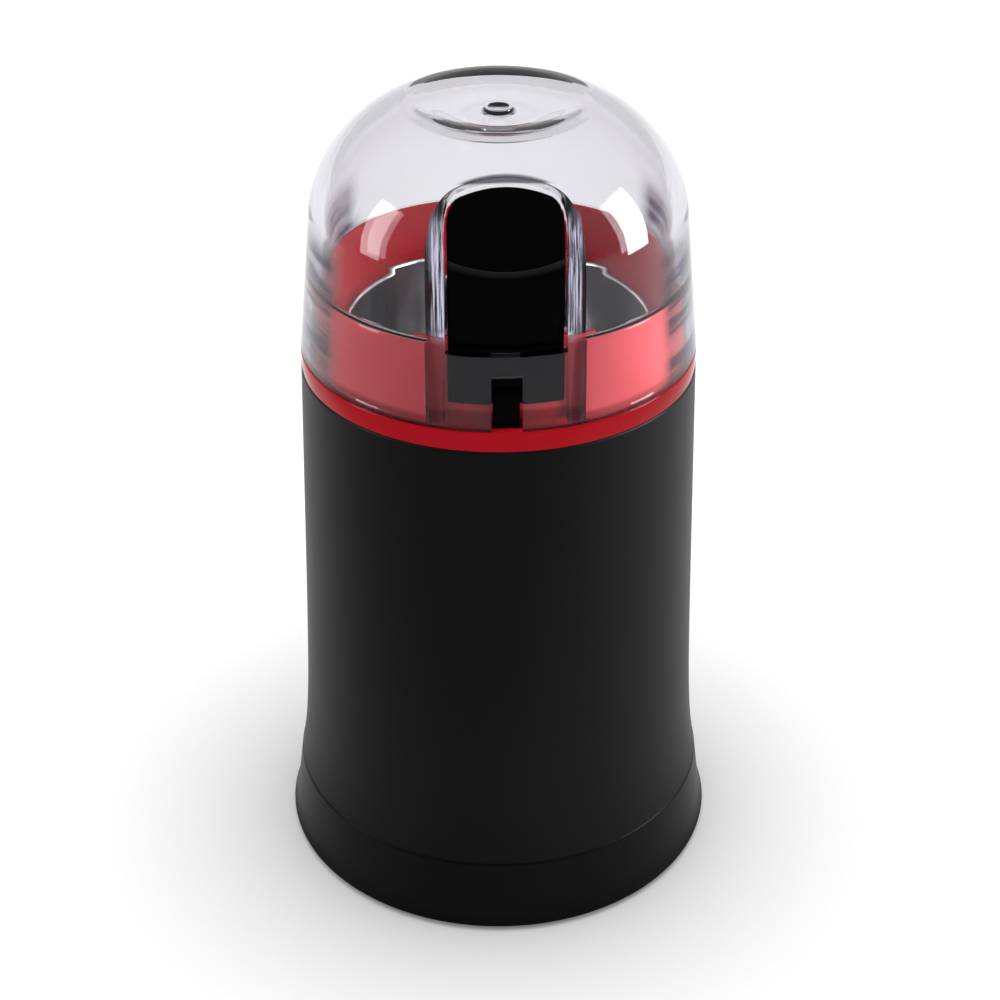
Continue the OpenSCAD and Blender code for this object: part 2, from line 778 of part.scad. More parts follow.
module rotor_windings() {
    bell_in_r = shaft_r + 1.5;
    bell_r = slot_circle_r + slot_r - 0.2;
    color("#b4642a") {
        for (z = [stack_top_z + seat, stack_z - seat - winding_h])
            translate([0, 0, z])
                rotate_extrude()
                    polygon([[bell_in_r, 0.8], [bell_in_r + 1, 0], [bell_r, 0],
                        [bell_r, winding_h - 1.5], [bell_r - 1.8, winding_h],
                        [bell_in_r + 1.2, winding_h], [bell_in_r, winding_h - 1]]);
        for (i = [0:rotor_slots - 1])
            rotate([0, 0, 360 * i / rotor_slots])
                translate([slot_circle_r, 0, stack_z - 2 * seat - 0.5])
                    cylinder(r = slot_r - 0.15, h = stack_h + 4 * seat + 1, $fn = 24);
    }
}

module commutator() {
    bar_gap = 0.4;
    color("#c07a3e") translate([0, 0, commutator_z]) difference() {
        union() {
            cylinder(r = commutator_r, h = commutator_l);
            translate([0, 0, commutator_l - 1.2]) cylinder(r = commutator_r + 1, h = 1.2);
        }
        translate([0, 0, -1]) cylinder(r = shaft_r + seat, h = commutator_l + 2);
        for (i = [0:commutator_bars - 1])
            rotate([0, 0, 360 * i / commutator_bars])
                translate([commutator_r - 0.7, -bar_gap / 2, -1])
                    cube([2.5, bar_gap, commutator_l + 2]);
    }
}

module cooling_fan() {
    hub_r = 5.5;
    fan_h = 3.4;
    color("#e4e2da") translate([0, 0, fan_z]) {
        difference() {
            union() {
                cylinder(r = hub_r, h = fan_h);
                cylinder(r = fan_r, h = 0.9);
                for (i = [0:fan_blades - 1])
                    rotate([0, 0, 360 * i / fan_blades])
                        translate([hub_r - 1, -0.5, 0])
                            rotate([0, 0, -8])
                                cube([fan_r - hub_r, 1, fan_h - 0.8]);
            }
            translate([0, 0, -1]) cylinder(r = shaft_r + seat, h = fan_h + 2);
        }
    }
}

spacer_z = bush_top_z + 0.9;
blade_z = spacer_z + 2.6;
wing_from = 8;

module blade_spacer() {
    color("#8d8e93") translate([0, 0, spacer_z]) ring(5.2, shaft_r + seat, blade_z - spacer_z - eps);
}

// Ground cutting edge along one wing, which leans by lean degrees
module ground_edge(lean) {
    half = blade_w / 2;
    grind_w = 2.2;
    edge_t = 0.4;
    translate([wing_from, 0, blade_t]) rotate([0, -lean, 0])
        translate([1, 0, 0])
            rotate([90, 0, 90])
                linear_extrude(blade_l / 2)
                    polygon([[half - grind_w, 0.5], [half - grind_w, 0], [half + 0.2, edge_t - blade_t],
                        [half + 1.5, edge_t - blade_t], [half + 1.5, 0.5]]);
}

// A folded strip: flat in the middle, one wing bent up and the other bent down a little
module grinding_blade() {
    tip = blade_l / 2;
    half = blade_w / 2;
    rake = 2.5;
    down_angle = -wing_angle * 0.35;
    up = (tip - wing_from) * tan(wing_angle);
    down = (tip - wing_from) * tan(down_angle);
    color("#d5d7da") translate([0, 0, blade_z]) difference() {
        intersection() {
            rotate([90, 0, 0])
                linear_extrude(2 * blade_w, center = true)
                    polygon([[-tip, down], [-wing_from, 0], [wing_from, 0], [tip, up],
                        [tip, up + blade_t], [wing_from, blade_t], [-wing_from, blade_t],
                        [-tip, down + blade_t]]);
            linear_extrude(blade_l, center = true)
                polygon([[-tip, -half], [tip - rake, -half], [tip, half], [-tip + rake, half]]);
        }
        ground_edge(wing_angle);
        rotate([0, 0, 180]) ground_edge(down_angle);
        translate([0, 0, -1]) cylinder(r = shaft_r + seat, h = blade_t + 2);
    }
}

module blade_nut() {
    nut_z = blade_z + blade_t + eps;
    color("#b9bbc0") difference() {
        union() {
            translate([0, 0, nut_z]) cylinder(r = 4.4, h = 0.8);
            translate([0, 0, nut_z + 0.8]) cylinder(r = 4.2, h = 2.6, $fn = 6);
        }
        translate([0, 0, nut_z - 1]) cylinder(r = shaft_r + seat, h = 6);
    }
}

// ---------------------------------------------------------------- switch

switch_y = pin_y;
switch_w = 12;
switch_d = 6.2;
switch_h = 9;
plunger_r = 1.3;
pin_end_z = deck_z - 3.4;
plunger_top_z = pin_end_z - slack;
switch_top_z = plunger_top_z - button_travel - 0.6;
switch_z = switch_top_z - switch_h;
switch_front_y = switch_y + 1.9;
plate_t = 2;
plunger_l = 2.3;
plunger_bore_l = plunger_l + button_travel + 0.2;
switch_screw_x = 4.2;
switch_screw_r = 0.9;
switch_screw_z = switch_z + 2.5;

module microswitch() {
    color("#3b3b40") difference() {
        translate([-switch_w / 2, -switch_front_y, switch_z]) cube([switch_w, switch_d, switch_h]);
        translate([0, -switch_y, switch_top_z - plunger_bore_l])
            cylinder(r = plunger_r + 0.2, h = plunger_bore_l + 1);
        for (side = [-1, 1])
            translate([side * switch_screw_x, -switch_front_y - 1, switch_screw_z])
                rotate([-90, 0, 0]) cylinder(r = switch_screw_r + seat, h = switch_d + 2);
    }
}

module switch_plunger() {
    color("#d8d5cc") translate([0, -switch_y, switch_top_z - plunger_l])
        cylinder(r = plunger_r, h = plunger_top_z - switch_top_z + plunger_l);
}

module switch_bracket() {
    plate_y = switch_front_y - switch_d - seat;
    color("#46464b") difference() {
        union() {
            translate([-switch_w / 2 - 1, -plate_y, switch_z - 0.5])
                cube([switch_w + 2, plate_t, deck_z - switch_z + 0.5 - eps]);
            translate([-switch_w / 2 - 1, -plate_y, deck_z - plate_t - eps])
                cube([switch_w + 2, 8, plate_t]);
        }
        for (side = [-1, 1])
            translate([side * switch_screw_x, -plate_y - 1, switch_screw_z])
                rotate([-90, 0, 0]) cylinder(r = switch_screw_r + seat, h = plate_t + 2);
    }
}

module switch_screws() {
    color("silver") for (side = [-1, 1])
        translate([side * switch_screw_x, -switch_front_y, switch_screw_z])
            rotate([-90, 0, 0]) screw(switch_screw_r, switch_d + plate_t, 1.7, 0.9);
}

// ---------------------------------------------------------------- button

button_back_y = channel_back_y + channel_half_w - button_half_w;
skirt_z = lid_z + 4.2;
fold_r = 2.4;
button_front_z = lid_z + button_front_h;
button_back_z = lid_z + button_back_h;
shell_z = neck_z + button_travel + 0.8;
skirt_t = 1.8;
stem_from_z = spring_seat_z + 9;

// Slope of the button's top, from its fold back to its rear edge
button_slope = atan2(button_back_z - button_front_z, button_face_r - fold_r - button_back_y);

// Side outline of the button: distance in front of the axis, then height
module button_profile(inset) {
    front = button_face_r + 1;
    drop = inset / cos(button_slope);
    polygon([[button_back_y + inset, shell_z], [front, shell_z], [front, button_front_z - drop],
        [button_face_r - fold_r, button_front_z - drop],
        [button_back_y + inset, button_back_z - drop - inset * tan(button_slope)]]);
}

// The channel's outline, open to the front, grown or shrunk all round
module channel_plan(grow) {
    half = channel_half_w + grow;
    back = channel_back_y - grow;
    corner = channel_corner_r + grow;
    bow = channel_bow_r + grow;
    corner_x = half - corner;
    corner_y = back + bow - sqrt(pow(bow - corner, 2) - pow(corner_x, 2));
    bow_half = corner_x * bow / (bow - corner);
    translate([-half, -reach]) square([2 * half, reach - corner_y]);
    for (side = [-1, 1])
        translate([side * corner_x, -corner_y]) circle(r = corner);
    intersection() {
        translate([0, -back - bow]) circle(r = bow);
        translate([-bow_half, -corner_y - corner]) square([2 * bow_half, reach]);
    }
}

module button_plan(inset) {
    intersection() {
        circle(r = button_face_r - inset);
        channel_plan(button_half_w - channel_half_w - inset);
    }
}

module button_form(inset) {
    intersection() {
        translate([0, 0, shell_z - 1]) linear_extrude(button_back_z - shell_z + 2) button_plan(inset);
        rotate([90, 0, 90])
            linear_extrude(2 * reach, center = true) mirror([1, 0]) button_profile(inset);
    }
}

module press_button() {
    dish_sphere_r = 60;
    mid_y = (button_face_r - fold_r + button_back_y) / 2;
    mid_z = (button_back_z + button_front_z) / 2;
    color("#0c0c0e") {
        difference() {
            union() {
                difference() {
                    button_form(0);
                    // Rounded fold along the top front edge
                    difference() {
                        translate([-reach, -button_face_r - 2, button_front_z - fold_r])
                            cube([2 * reach, fold_r + 2, fold_r + 2]);
                        rotate_extrude()
                            translate([button_face_r - fold_r, button_front_z - fold_r])
                                circle(r = fold_r);
                        translate([-reach, -button_face_r + fold_r, 0])
                            cube([2 * reach, reach, lid_z + lid_h]);
                    }
                }
                // Skirt that runs down behind the lid's clear band
                intersection() {
                    translate([0, 0, skirt_z])
                        difference() {
                            cylinder(r = button_face_r, h = shell_z - skirt_z + 4);
                            translate([0, 0, -1]) cylinder(r = button_face_r - skirt_t, h = shell_z);
                        }
                    translate([-button_half_w, -reach, skirt_z - 1])
                        cube([2 * button_half_w, reach - button_back_y, shell_z - skirt_z + 5]);
                }
                // Tongue through the notch and the collar
                translate([-tongue_half_w, -tongue_front_y, stem_from_z])
                    cube([2 * tongue_half_w, tongue_front_y - tongue_back_y,
                        skirt_z + 3 - stem_from_z]);
                // Pin through the return spring
                translate([0, -pin_y, pin_end_z]) cylinder(r = pin_r, h = stem_from_z - pin_end_z + 1);
            }
            // Hollow inside
            button_form(button_wall);
            translate([0, 0, -eps - 1]) intersection() {
                translate([0, 0, shell_z - 2]) linear_extrude(4) button_plan(button_wall);
                translate([-reach, -button_face_r + skirt_t, 0])
                    cube([2 * reach, reach, lid_z + lid_h]);
            }
            // Finger dish
            translate([0, -mid_y, mid_z])
                rotate([button_slope, 0, 0])
                    translate([0, 0, dish_sphere_r - finger_dish])
                        sphere(r = dish_sphere_r, $fn = 100);
        }
    }
}

module button_spring() {
    color("silver") translate([0, -pin_y, spring_seat_z + seat])
        coil_spring(1.35, 0.2, stem_from_z - spring_seat_z - 2 * seat, 7);
}

// ---------------------------------------------------------------- lid

lid_top_z = lid_z + lid_h;
shoulder_z = lid_z + lid_side_h;
lid_foot_r = collar_r;
shoulder_r = lid_foot_r - lid_draft * lid_side_h;
dome_h = lid_h - lid_side_h;
dome_r = shoulder_r - crown_r - lid_draft * dome_h;
gate_r = 3.1;
gate_h = 0.9;
channel_foot_z = neck_z - 5;
channel_gap = 0.7;

function dome_point(a) = let (p = 2 / dome_power, z = shoulder_z + dome_h * pow(sin(a), p))
    [crown_r + dome_r * pow(cos(a), p) + lid_draft * (lid_top_z - z), z];
function lid_r_at(z) = lid_foot_r - lid_draft * (z - lid_z);
function dish_z(r) = let (ball_r = (dish_r * dish_r + dish_depth * dish_depth) / (2 * dish_depth))
    lid_top_z - dish_depth + ball_r - sqrt(ball_r * ball_r - r * r);
function dome_out(a) = let (step = dome_point(a + 1) - dome_point(a))
    [step[1], -step[0]] / norm(step);

// Dome and dish from the shoulder to the axis; thin pulls them inwards for the inside
function crown(thin) = concat(
    [for (i = [0:dome_steps - 2]) let (a = 90 * i / dome_steps) dome_point(a) - thin * dome_out(a)],
    [for (i = [0:dish_steps]) let (r = dish_r * (1 - i / dish_steps)) [r, dish_z(r) - thin]]);

// Everything inside the lid's outer surface
module lid_solid() {
    rotate_extrude(convexity = 6) polygon(concat([[0, lid_z], [lid_foot_r, lid_z]], crown(0)));
}

// Hollow of the lid, with a ledge over the neck's rim
module lid_hollow() {
    step_z = neck_z + slack;
    rotate_extrude(convexity = 6)
        polygon(concat([[0, lid_z - 1], [lid_foot_r - lid_wall, lid_z - 1],
            [lid_r_at(step_z) - lid_wall, step_z], [lid_r_at(step_z) - lid_crown_wall, step_z]],
            crown(lid_crown_wall)));
}

// Side and back walls round the button, drawn in plan
module channel_walls() {
    difference() {
        channel_plan(channel_wall);
        channel_plan(0);
    }
}

module lid() {
    front_r = recess_r + slack;
    color([0.85, 0.85, 0.92, 0.4]) difference() {
        union() {
            difference() {
                lid_solid();
                lid_hollow();
            }
            // Channel walls: behind the neck's front wall, over it and in front of it
            intersection() {
                lid_solid();
                translate([0, 0, lid_z]) linear_extrude(lid_h) channel_walls();
                union() {
                    translate([0, 0, channel_foot_z]) cylinder(r = pad_in_r - slack, h = lid_h);
                    translate([0, 0, neck_z + channel_gap]) cylinder(r = reach, h = lid_h);
                    translate([0, 0, lid_z]) ring(reach, front_r, lid_h);
                }
            }
            // Gate mark in the middle of the crown
            translate([0, 0, dish_z(0) - lid_wall / 2])
                cylinder(r = gate_r, h = lid_wall / 2 + gate_h);
        }
        // The channel cuts the dome above the band
        translate([0, 0, lid_z + band_h]) linear_extrude(lid_h) channel_plan(0);
        // Notch over the tongue
        translate([-notch_half_w, -reach, lid_z - 1])
            cube([2 * notch_half_w, reach - front_r, notch_h + 1]);
        translate([0, 0, dish_z(0) + gate_h - 0.8])
            rotate_extrude() polygon([[0, -0.2], [1.5, 0], [2.2, 0.8 + eps], [0, 0.8 + eps]]);
    }
}

// ---------------------------------------------------------------- assembly

base_skirt();
bottom_cover();
rubber_feet();
base_screws();
cord_inlet_bush();
outer_sleeve();
upper_housing();
collar_screws();
grinding_bowl();
bowl_bush();
bowl_nut();
shaft_seal();
upper_bridge();
lower_bridge();
bearing(upper_bearing_z);  // upper_bearing
bearing(lower_bearing_z);  // lower_bearing
stator_core();
field_coils();
motor_screws();
motor_mounts();
brush_holders();
carbon_brushes();
brush_springs();
microswitch();
switch_bracket();
switch_screws();
motor_shaft();
rotor_core();
rotor_windings();
commutator();
cooling_fan();
blade_spacer();
grinding_blade();
blade_nut();
press_button();
button_spring();
switch_plunger();
lid();
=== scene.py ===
"""Looks of an electric spice grinder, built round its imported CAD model."""
import math

import bpy
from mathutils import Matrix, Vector


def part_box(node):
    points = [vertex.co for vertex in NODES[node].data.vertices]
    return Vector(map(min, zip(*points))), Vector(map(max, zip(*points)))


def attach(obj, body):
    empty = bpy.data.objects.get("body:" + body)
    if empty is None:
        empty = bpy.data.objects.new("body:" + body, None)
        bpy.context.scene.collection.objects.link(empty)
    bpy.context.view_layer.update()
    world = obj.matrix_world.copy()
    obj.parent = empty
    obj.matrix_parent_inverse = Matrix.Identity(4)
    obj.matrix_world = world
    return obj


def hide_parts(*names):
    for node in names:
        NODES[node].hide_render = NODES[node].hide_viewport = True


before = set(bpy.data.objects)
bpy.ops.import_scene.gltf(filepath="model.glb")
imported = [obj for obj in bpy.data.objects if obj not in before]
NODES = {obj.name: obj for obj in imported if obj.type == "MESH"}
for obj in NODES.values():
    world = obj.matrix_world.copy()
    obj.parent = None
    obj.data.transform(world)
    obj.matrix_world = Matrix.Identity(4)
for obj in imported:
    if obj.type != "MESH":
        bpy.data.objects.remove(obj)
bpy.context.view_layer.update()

MM = 0.001


def low(node):
    """Lowest corner of a CAD node's box, in millimetres."""
    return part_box(node)[0] / MM


def high(node):
    """Highest corner of a CAD node's box, in millimetres."""
    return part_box(node)[1] / MM


# ------------------------------------------------------------------ sizes, in millimetres

BASE_Z = low("base_skirt").z
SEAM_Z = low("outer_sleeve").z
COLLAR_Z = high("outer_sleeve").z
LID_Z = low("lid").z
NECK_Z = high("upper_housing").z
LID_TOP_Z = high("lid").z
BOWL_RIM_Z = high("grinding_bowl").z
BOWL_FLOOR_Z = BOWL_RIM_Z - 41
BASE_R = high("base_skirt").x
INLET_Z = (low("cord_inlet_bush").z + high("cord_inlet_bush").z) / 2
INLET_FLANGE_R = high("cord_inlet_bush").x
LID_R = high("lid").x

CHANNEL_HALF_W = 11.8
CHANNEL_BACK_Y = 28.9
CHANNEL_WALL = 3.2
CHANNEL_BOW_R = 60
CHANNEL_CORNER_R = 3.4
BAND_H = 15.7
NOTCH_HALF_W = 3.05
NOTCH_H = 11.4
LID_WALL = 1.9
CROWN_WALL = 3.4
DISH_R = 17.5
DISH_SIDE = 9.5
DISH_DEPTH = 2.7
CREST_Z = LID_TOP_Z - 0.5
GATE_R = 3.1

BUTTON_FACE_R = 37.7
BUTTON_HALF_W = 11.25
BUTTON_BACK_Y = CHANNEL_BACK_Y + CHANNEL_HALF_W - BUTTON_HALF_W
BUTTON_FRONT_Z = LID_Z + 36.4
BUTTON_BACK_Z = LID_Z + 46.2
BUTTON_FOLD_R = 2.4
SHELL_Z = NECK_Z + 3.8
TONGUE_HALF_W = 2.6

RECESS_R = 35.3
RECESS_HALF_W = CHANNEL_HALF_W + CHANNEL_WALL + 0.5
NECK_FOOT_R = 39.5
NECK_RIM_R = 37.8
NECK_WALL = 1.6
BOWL_R = 31.4
BOWL_T = 0.8


def base_radius(z):
    up = z - BASE_Z
    return BASE_R - 0.13 * up - 0.9 * (1 - math.exp(-up / 1.7))


def sleeve_radius(z):
    return 42.1 + 0.029 * (COLLAR_Z - z) + 1.83 * math.exp(-(z - SEAM_Z) / 9.7)


INLET_FACE_Y = math.sqrt(base_radius(SEAM_Z) ** 2 - INLET_FLANGE_R ** 2) + 0.1


# ------------------------------------------------------------------ modelling by operator

def only(obj):
    """Leaves one object selected and active."""
    bpy.ops.object.select_all(action="DESELECT")
    obj.select_set(True)
    bpy.context.view_layer.objects.active = obj


def chain(name, points):
    """A new mesh with one edge from each point to the next, left in edit mode."""
    bpy.ops.object.select_all(action="DESELECT")
    bpy.ops.mesh.primitive_plane_add(size=MM)
    obj = bpy.context.object
    obj.name = obj.data.name = name
    points = [Vector(p) * MM for p in points]
    bpy.ops.object.mode_set(mode="EDIT")
    bpy.ops.mesh.merge(type="CENTER")
    bpy.ops.transform.translate(value=points[0])
    for a, b in zip(points, points[1:]):
        bpy.ops.mesh.extrude_region_move(TRANSFORM_OT_translate={"value": b - a})
    bpy.ops.mesh.select_all(action="SELECT")
    return obj


def closed(obj, keep=1e-6):
    """Merges doubles, turns the faces outwards and goes back to object mode."""
    bpy.ops.mesh.select_all(action="SELECT")
    bpy.ops.mesh.remove_doubles(threshold=keep)
    bpy.ops.mesh.normals_make_consistent(inside=False)
    bpy.ops.object.mode_set(mode="OBJECT")
    return obj


def turned(name, outline, steps=128):
    """A solid of revolution about Z. The outline is (radius, height) points."""
    obj = chain(name, [(r, 0, z) for r, z in outline])
    bpy.ops.mesh.spin(steps=steps, angle=2 * math.pi, center=(0, 0, 0), axis=(0, 0, 1))
    return closed(obj)


def ring_of(outline):
    """Closes an outline that doesn't touch the axis."""
    return list(outline) + [outline[0]]


def prism(name, outline, depth):
    """A closed outline of 3-D points, filled and pushed along depth."""
    obj = chain(name, list(outline) + [outline[0]])
    bpy.ops.mesh.remove_doubles(threshold=1e-6)
    bpy.ops.mesh.select_all(action="SELECT")
    bpy.ops.mesh.edge_face_add()
    bpy.ops.mesh.extrude_region_move(TRANSFORM_OT_translate={"value": Vector(depth) * MM})
    return closed(obj)


def block(name, corner_a, corner_b):
    """A box from one corner to the other."""
    (ax, ay, az), (bx, by, bz) = corner_a, corner_b
    return prism(name, [(ax, ay, az), (bx, ay, az), (bx, by, az), (ax, by, az)], (0, 0, bz - az))


def cut(obj, tool, operation="DIFFERENCE"):
    """Applies one boolean and removes the tool."""
    only(obj)
    mod = obj.modifiers.new("cut", "BOOLEAN")
    mod.operation = operation
    mod.solver = "EXACT"
    mod.object = tool
    bpy.ops.object.modifier_apply(modifier=mod.name)
    bpy.data.objects.remove(tool)
    return obj


def rounded(obj, width, segments=3, angle=35):
    """Bevels every edge sharper than the angle."""
    only(obj)
    mod = obj.modifiers.new("round", "BEVEL")
    mod.width = width * MM
    mod.segments = segments
    mod.limit_method = "ANGLE"
    mod.angle_limit = math.radians(angle)
    mod.use_clamp_overlap = True
    bpy.ops.object.modifier_apply(modifier=mod.name)
    return obj


def smooth(obj, angle=32):
    """Shades smooth, except over edges sharper than the angle."""
    only(obj)
    bpy.ops.object.shade_smooth_by_angle(angle=math.radians(angle))
    return obj


def arc(centre_a, centre_b, radius, start, end, steps):
    """Points on an arc, angles in degrees."""
    turns = [math.radians(start + (end - start) * i / steps) for i in range(steps + 1)]
    return [(centre_a + radius * math.cos(t), centre_b + radius * math.sin(t)) for t in turns]


def eased(points, rounds=2):
    """Cuts the corners of an open outline, keeping its two ends."""
    for _ in range(rounds):
        out = [points[0]]
        for (ar, az), (br, bz) in zip(points, points[1:]):
            out.append((0.75 * ar + 0.25 * br, 0.75 * az + 0.25 * bz))
            out.append((0.25 * ar + 0.75 * br, 0.25 * az + 0.75 * bz))
        points = out + [points[-1]]
    return points


# ------------------------------------------------------------------ base and sleeve

def build_base_skirt():
    """Flared base moulding with its cover ledge, sleeve spigot and inlet hole."""
    toe = 0.5
    wall = 2.4
    heights = [BASE_Z + toe + (SEAM_Z - BASE_Z - toe - 0.4) * (i / 22) ** 1.3 for i in range(23)]
    outer = [(base_radius(z), z) for z in heights]
    foot = arc(outer[0][0] - toe, BASE_Z + toe, toe, -90, -8, 5)
    rim = arc(base_radius(SEAM_Z) - 0.4, SEAM_Z - 0.4, 0.4, 0, 90, 4)
    spigot_r = sleeve_radius(SEAM_Z + 5) - 2.2
    spigot = [(spigot_r, SEAM_Z), (spigot_r, SEAM_Z + 4.7), (spigot_r - 0.3, SEAM_Z + 5),
              (spigot_r - 1.8, SEAM_Z + 5), (spigot_r - 1.8, SEAM_Z - 3)]
    inner = [(base_radius(z) - wall, z) for z in (SEAM_Z - 3, BASE_Z + 9, BASE_Z + 5)]
    ledge = [(42.5, BASE_Z + 5), (42.5, BASE_Z + 3), (base_radius(BASE_Z + 3) - wall, BASE_Z + 3),
             (base_radius(BASE_Z + 1) - wall, BASE_Z)]
    skirt = turned("base_shell", ring_of(foot + outer + rim + spigot + inner + ledge), 144)
    flange_r = INLET_FLANGE_R + 0.15
    cut(skirt, round_bar("inlet_hole", INLET_FLANGE_R - 1, 30, 60))
    cut(skirt, round_bar("spot_face", flange_r, INLET_FACE_Y, 60))
    return cut(skirt, round_bar("inner_pocket", flange_r, 30, INLET_FACE_Y - wall))


def round_bar(name, radius, from_y, to_y):
    """A round bar along Y at the height of the mains inlet."""
    outline = [(x, from_y, z) for x, z in arc(0, INLET_Z, radius, 0, 350, 35)]
    return prism(name, outline, (0, to_y - from_y, 0))


def build_sleeve():
    """Waisted sleeve with a softly rolled top edge and a fine shadow gap at its foot."""
    roll = 0.55
    heights = [SEAM_Z + 0.35 + (COLLAR_Z - SEAM_Z - 0.35 - roll) * (i / 40) ** 1.4 for i in range(41)]
    outer = [(sleeve_radius(z), z) for z in heights]
    foot = arc(sleeve_radius(SEAM_Z) - 0.35, SEAM_Z + 0.35, 0.35, -90, 0, 4)
    top = arc(sleeve_radius(COLLAR_Z) - roll, COLLAR_Z - roll, roll, 0, 90, 6)
    inner = [(sleeve_radius(z) - 1.9, z) for z in reversed(heights)]
    outline = foot[:-1] + outer + top + [(sleeve_radius(COLLAR_Z) - 1.9, COLLAR_Z)] + inner + [
        (sleeve_radius(SEAM_Z) - 1.9, SEAM_Z)]
    return turned("sleeve_shell", ring_of(outline), 160)


# ------------------------------------------------------------------ red housing and steel bowl

def front_recess():
    """What is cut from the neck for the button's skirt and the lid's channel."""
    outer = block("recess", (-RECESS_HALF_W, -LID_R - 1, LID_Z), (RECESS_HALF_W, -20, NECK_Z + 2))
    core = turned("recess_core", [(0, LID_Z - 1), (RECESS_R, LID_Z - 1), (RECESS_R, NECK_Z + 3), (0, NECK_Z + 3)], 128)
    return cut(outer, core)


def build_housing():
    """Collar, neck and funnel in one red moulding, with the deck and jacket below."""
    collar_r = 42
    spigot_r = 39.9
    funnel_r = BOWL_R + BOWL_T + 1.4
    jacket_in = BOWL_R + BOWL_T + 0.4
    jacket_out = jacket_in + 2
    deck_top = BOWL_FLOOR_Z - BOWL_T - 1.6
    seat_z = BOWL_RIM_Z - 1.8
    edge = 0.45
    outline = [(spigot_r, COLLAR_Z - 4), (spigot_r, COLLAR_Z)]
    outline += arc(collar_r - 0.2, COLLAR_Z + 0.2, 0.2, -90, 0, 3)
    outline += arc(collar_r - edge, LID_Z - edge, edge, 0, 90, 5)
    outline += arc(NECK_FOOT_R + 0.5, LID_Z + 0.5, 0.5, 270, 190, 4)
    outline += arc(NECK_RIM_R - 0.55, NECK_Z - 0.55, 0.55, 0, 90, 5)
    outline += arc(NECK_RIM_R - NECK_WALL + 0.55, NECK_Z - 0.55, 0.55, 90, 180, 5)
    outline += arc(funnel_r + 0.6, BOWL_RIM_Z + 1.5, 0.6, 150, 200, 4)
    outline += [(funnel_r, BOWL_RIM_Z + 0.6), (funnel_r, seat_z), (jacket_in, seat_z),
                (jacket_in, deck_top), (5.1, deck_top), (5.1, deck_top - 2),
                (jacket_out, deck_top - 2), (jacket_out, COLLAR_Z + 2),
                (spigot_r - 1.8, COLLAR_Z + 2), (spigot_r - 1.8, COLLAR_Z - 4)]
    housing = turned("neck_and_collar", ring_of(outline), 160)
    cut(housing, front_recess())
    pad_in = RECESS_R - NECK_WALL
    pad = turned("pad", ring_of([(RECESS_R, BOWL_RIM_Z + 1), (RECESS_R, NECK_Z - 0.4), (RECESS_R - 0.4, NECK_Z),
                                 (pad_in + 0.4, NECK_Z), (pad_in, NECK_Z - 0.4), (pad_in, BOWL_RIM_Z + 1)]), 160)
    cut(pad, block("pad_keep", (-RECESS_HALF_W - 1.6, -60, 0), (RECESS_HALF_W + 1.6, -20, 200)), "INTERSECT")
    cut(housing, pad, "UNION")
    cut(housing, block("tongue_slot", (-TONGUE_HALF_W - 0.45, -40.15, COLLAR_Z - 6),
                       (TONGUE_HALF_W + 0.45, -35.75, LID_Z + 2)))
    return housing


def build_bowl():
    """Polished bowl with a rounded bottom corner and a rolled rim."""
    foot_r = BOWL_R - 1.6
    corner = 9
    bead = 0.85
    inner = arc(foot_r - corner, BOWL_FLOOR_Z + corner, corner, -90, 0, 14)
    outer = arc(foot_r - corner, BOWL_FLOOR_Z + corner, corner + BOWL_T, 0, -90, 14)
    rim = arc(BOWL_R + BOWL_T + 0.3, BOWL_RIM_Z - bead, bead, 200, -70, 16)
    outline = [(5.1, BOWL_FLOOR_Z)] + inner + rim + outer + [(5.1, BOWL_FLOOR_Z - BOWL_T)]
    return turned("steel_bowl", ring_of(outline), 144)


# ------------------------------------------------------------------ clear lid

SHOULDER_Z = LID_Z + 30.2
SHOULDER_R = LID_R - 0.1 * 30.2
DOME_H = LID_TOP_Z - SHOULDER_Z
CROWN_R = 14.4
DOME_R = SHOULDER_R - CROWN_R - 0.1 * DOME_H
DOME_POWER = 2 / 1.9


def dish_height(r):
    share = min(1, max(0, r - DISH_R + DISH_SIDE) / DISH_SIDE)
    return CREST_Z - DISH_DEPTH * (1 + math.cos(math.pi * share)) / 2


def side_radius(z, thin=0.0):
    return LID_R - 0.1 * (z - LID_Z) - thin * math.hypot(1, 0.1)


def dome_point(degrees):
    a = math.radians(degrees)
    z = SHOULDER_Z + DOME_H * math.sin(a) ** DOME_POWER
    return Vector((CROWN_R + DOME_R * math.cos(a) ** DOME_POWER + 0.1 * (LID_TOP_Z - z), z))


def crown(thin, centre=0.0):
    """Upper side, dome, rim and dish, in towards the axis."""
    steps = 44
    points = [(side_radius(z, thin), z) for z in (SHOULDER_Z - 6, SHOULDER_Z - 3, SHOULDER_Z - 1)]
    for i in range(steps):
        here = dome_point(90 * i / steps)
        run = (dome_point(90 * i / steps + 0.2) - here).normalized()
        if here.x > DISH_R + 1.8:
            points.append((here.x - thin * run.y, here.y + thin * run.x))
    dish = [centre + (DISH_R - centre) * i / 24 for i in range(24, -1, -1)]
    return points + [(r, dish_height(r) - thin) for r in dish]


def lid_form():
    """Foot, side, dome, dish and gate mark."""
    side = [LID_Z + rise for rise in (0.35, 1, 2, 5, 10, 15, 20)]
    points = [(LID_R - 0.35, LID_Z)] + [(side_radius(z), z) for z in side] + crown(0, GATE_R + 0.9)
    flat = dish_height(0)
    gate = [(GATE_R + 0.35, flat + 0.1), (GATE_R, flat + 0.45), (GATE_R - 0.2, flat + 0.8),
            (GATE_R - 0.5, flat + 0.9), (2.2, flat + 0.9), (1.9, flat + 0.6),
            (1.2, flat + 0.2), (0, flat + 0.1)]
    return [(0, LID_Z)] + points[:1] + eased(points[1:], 1) + gate


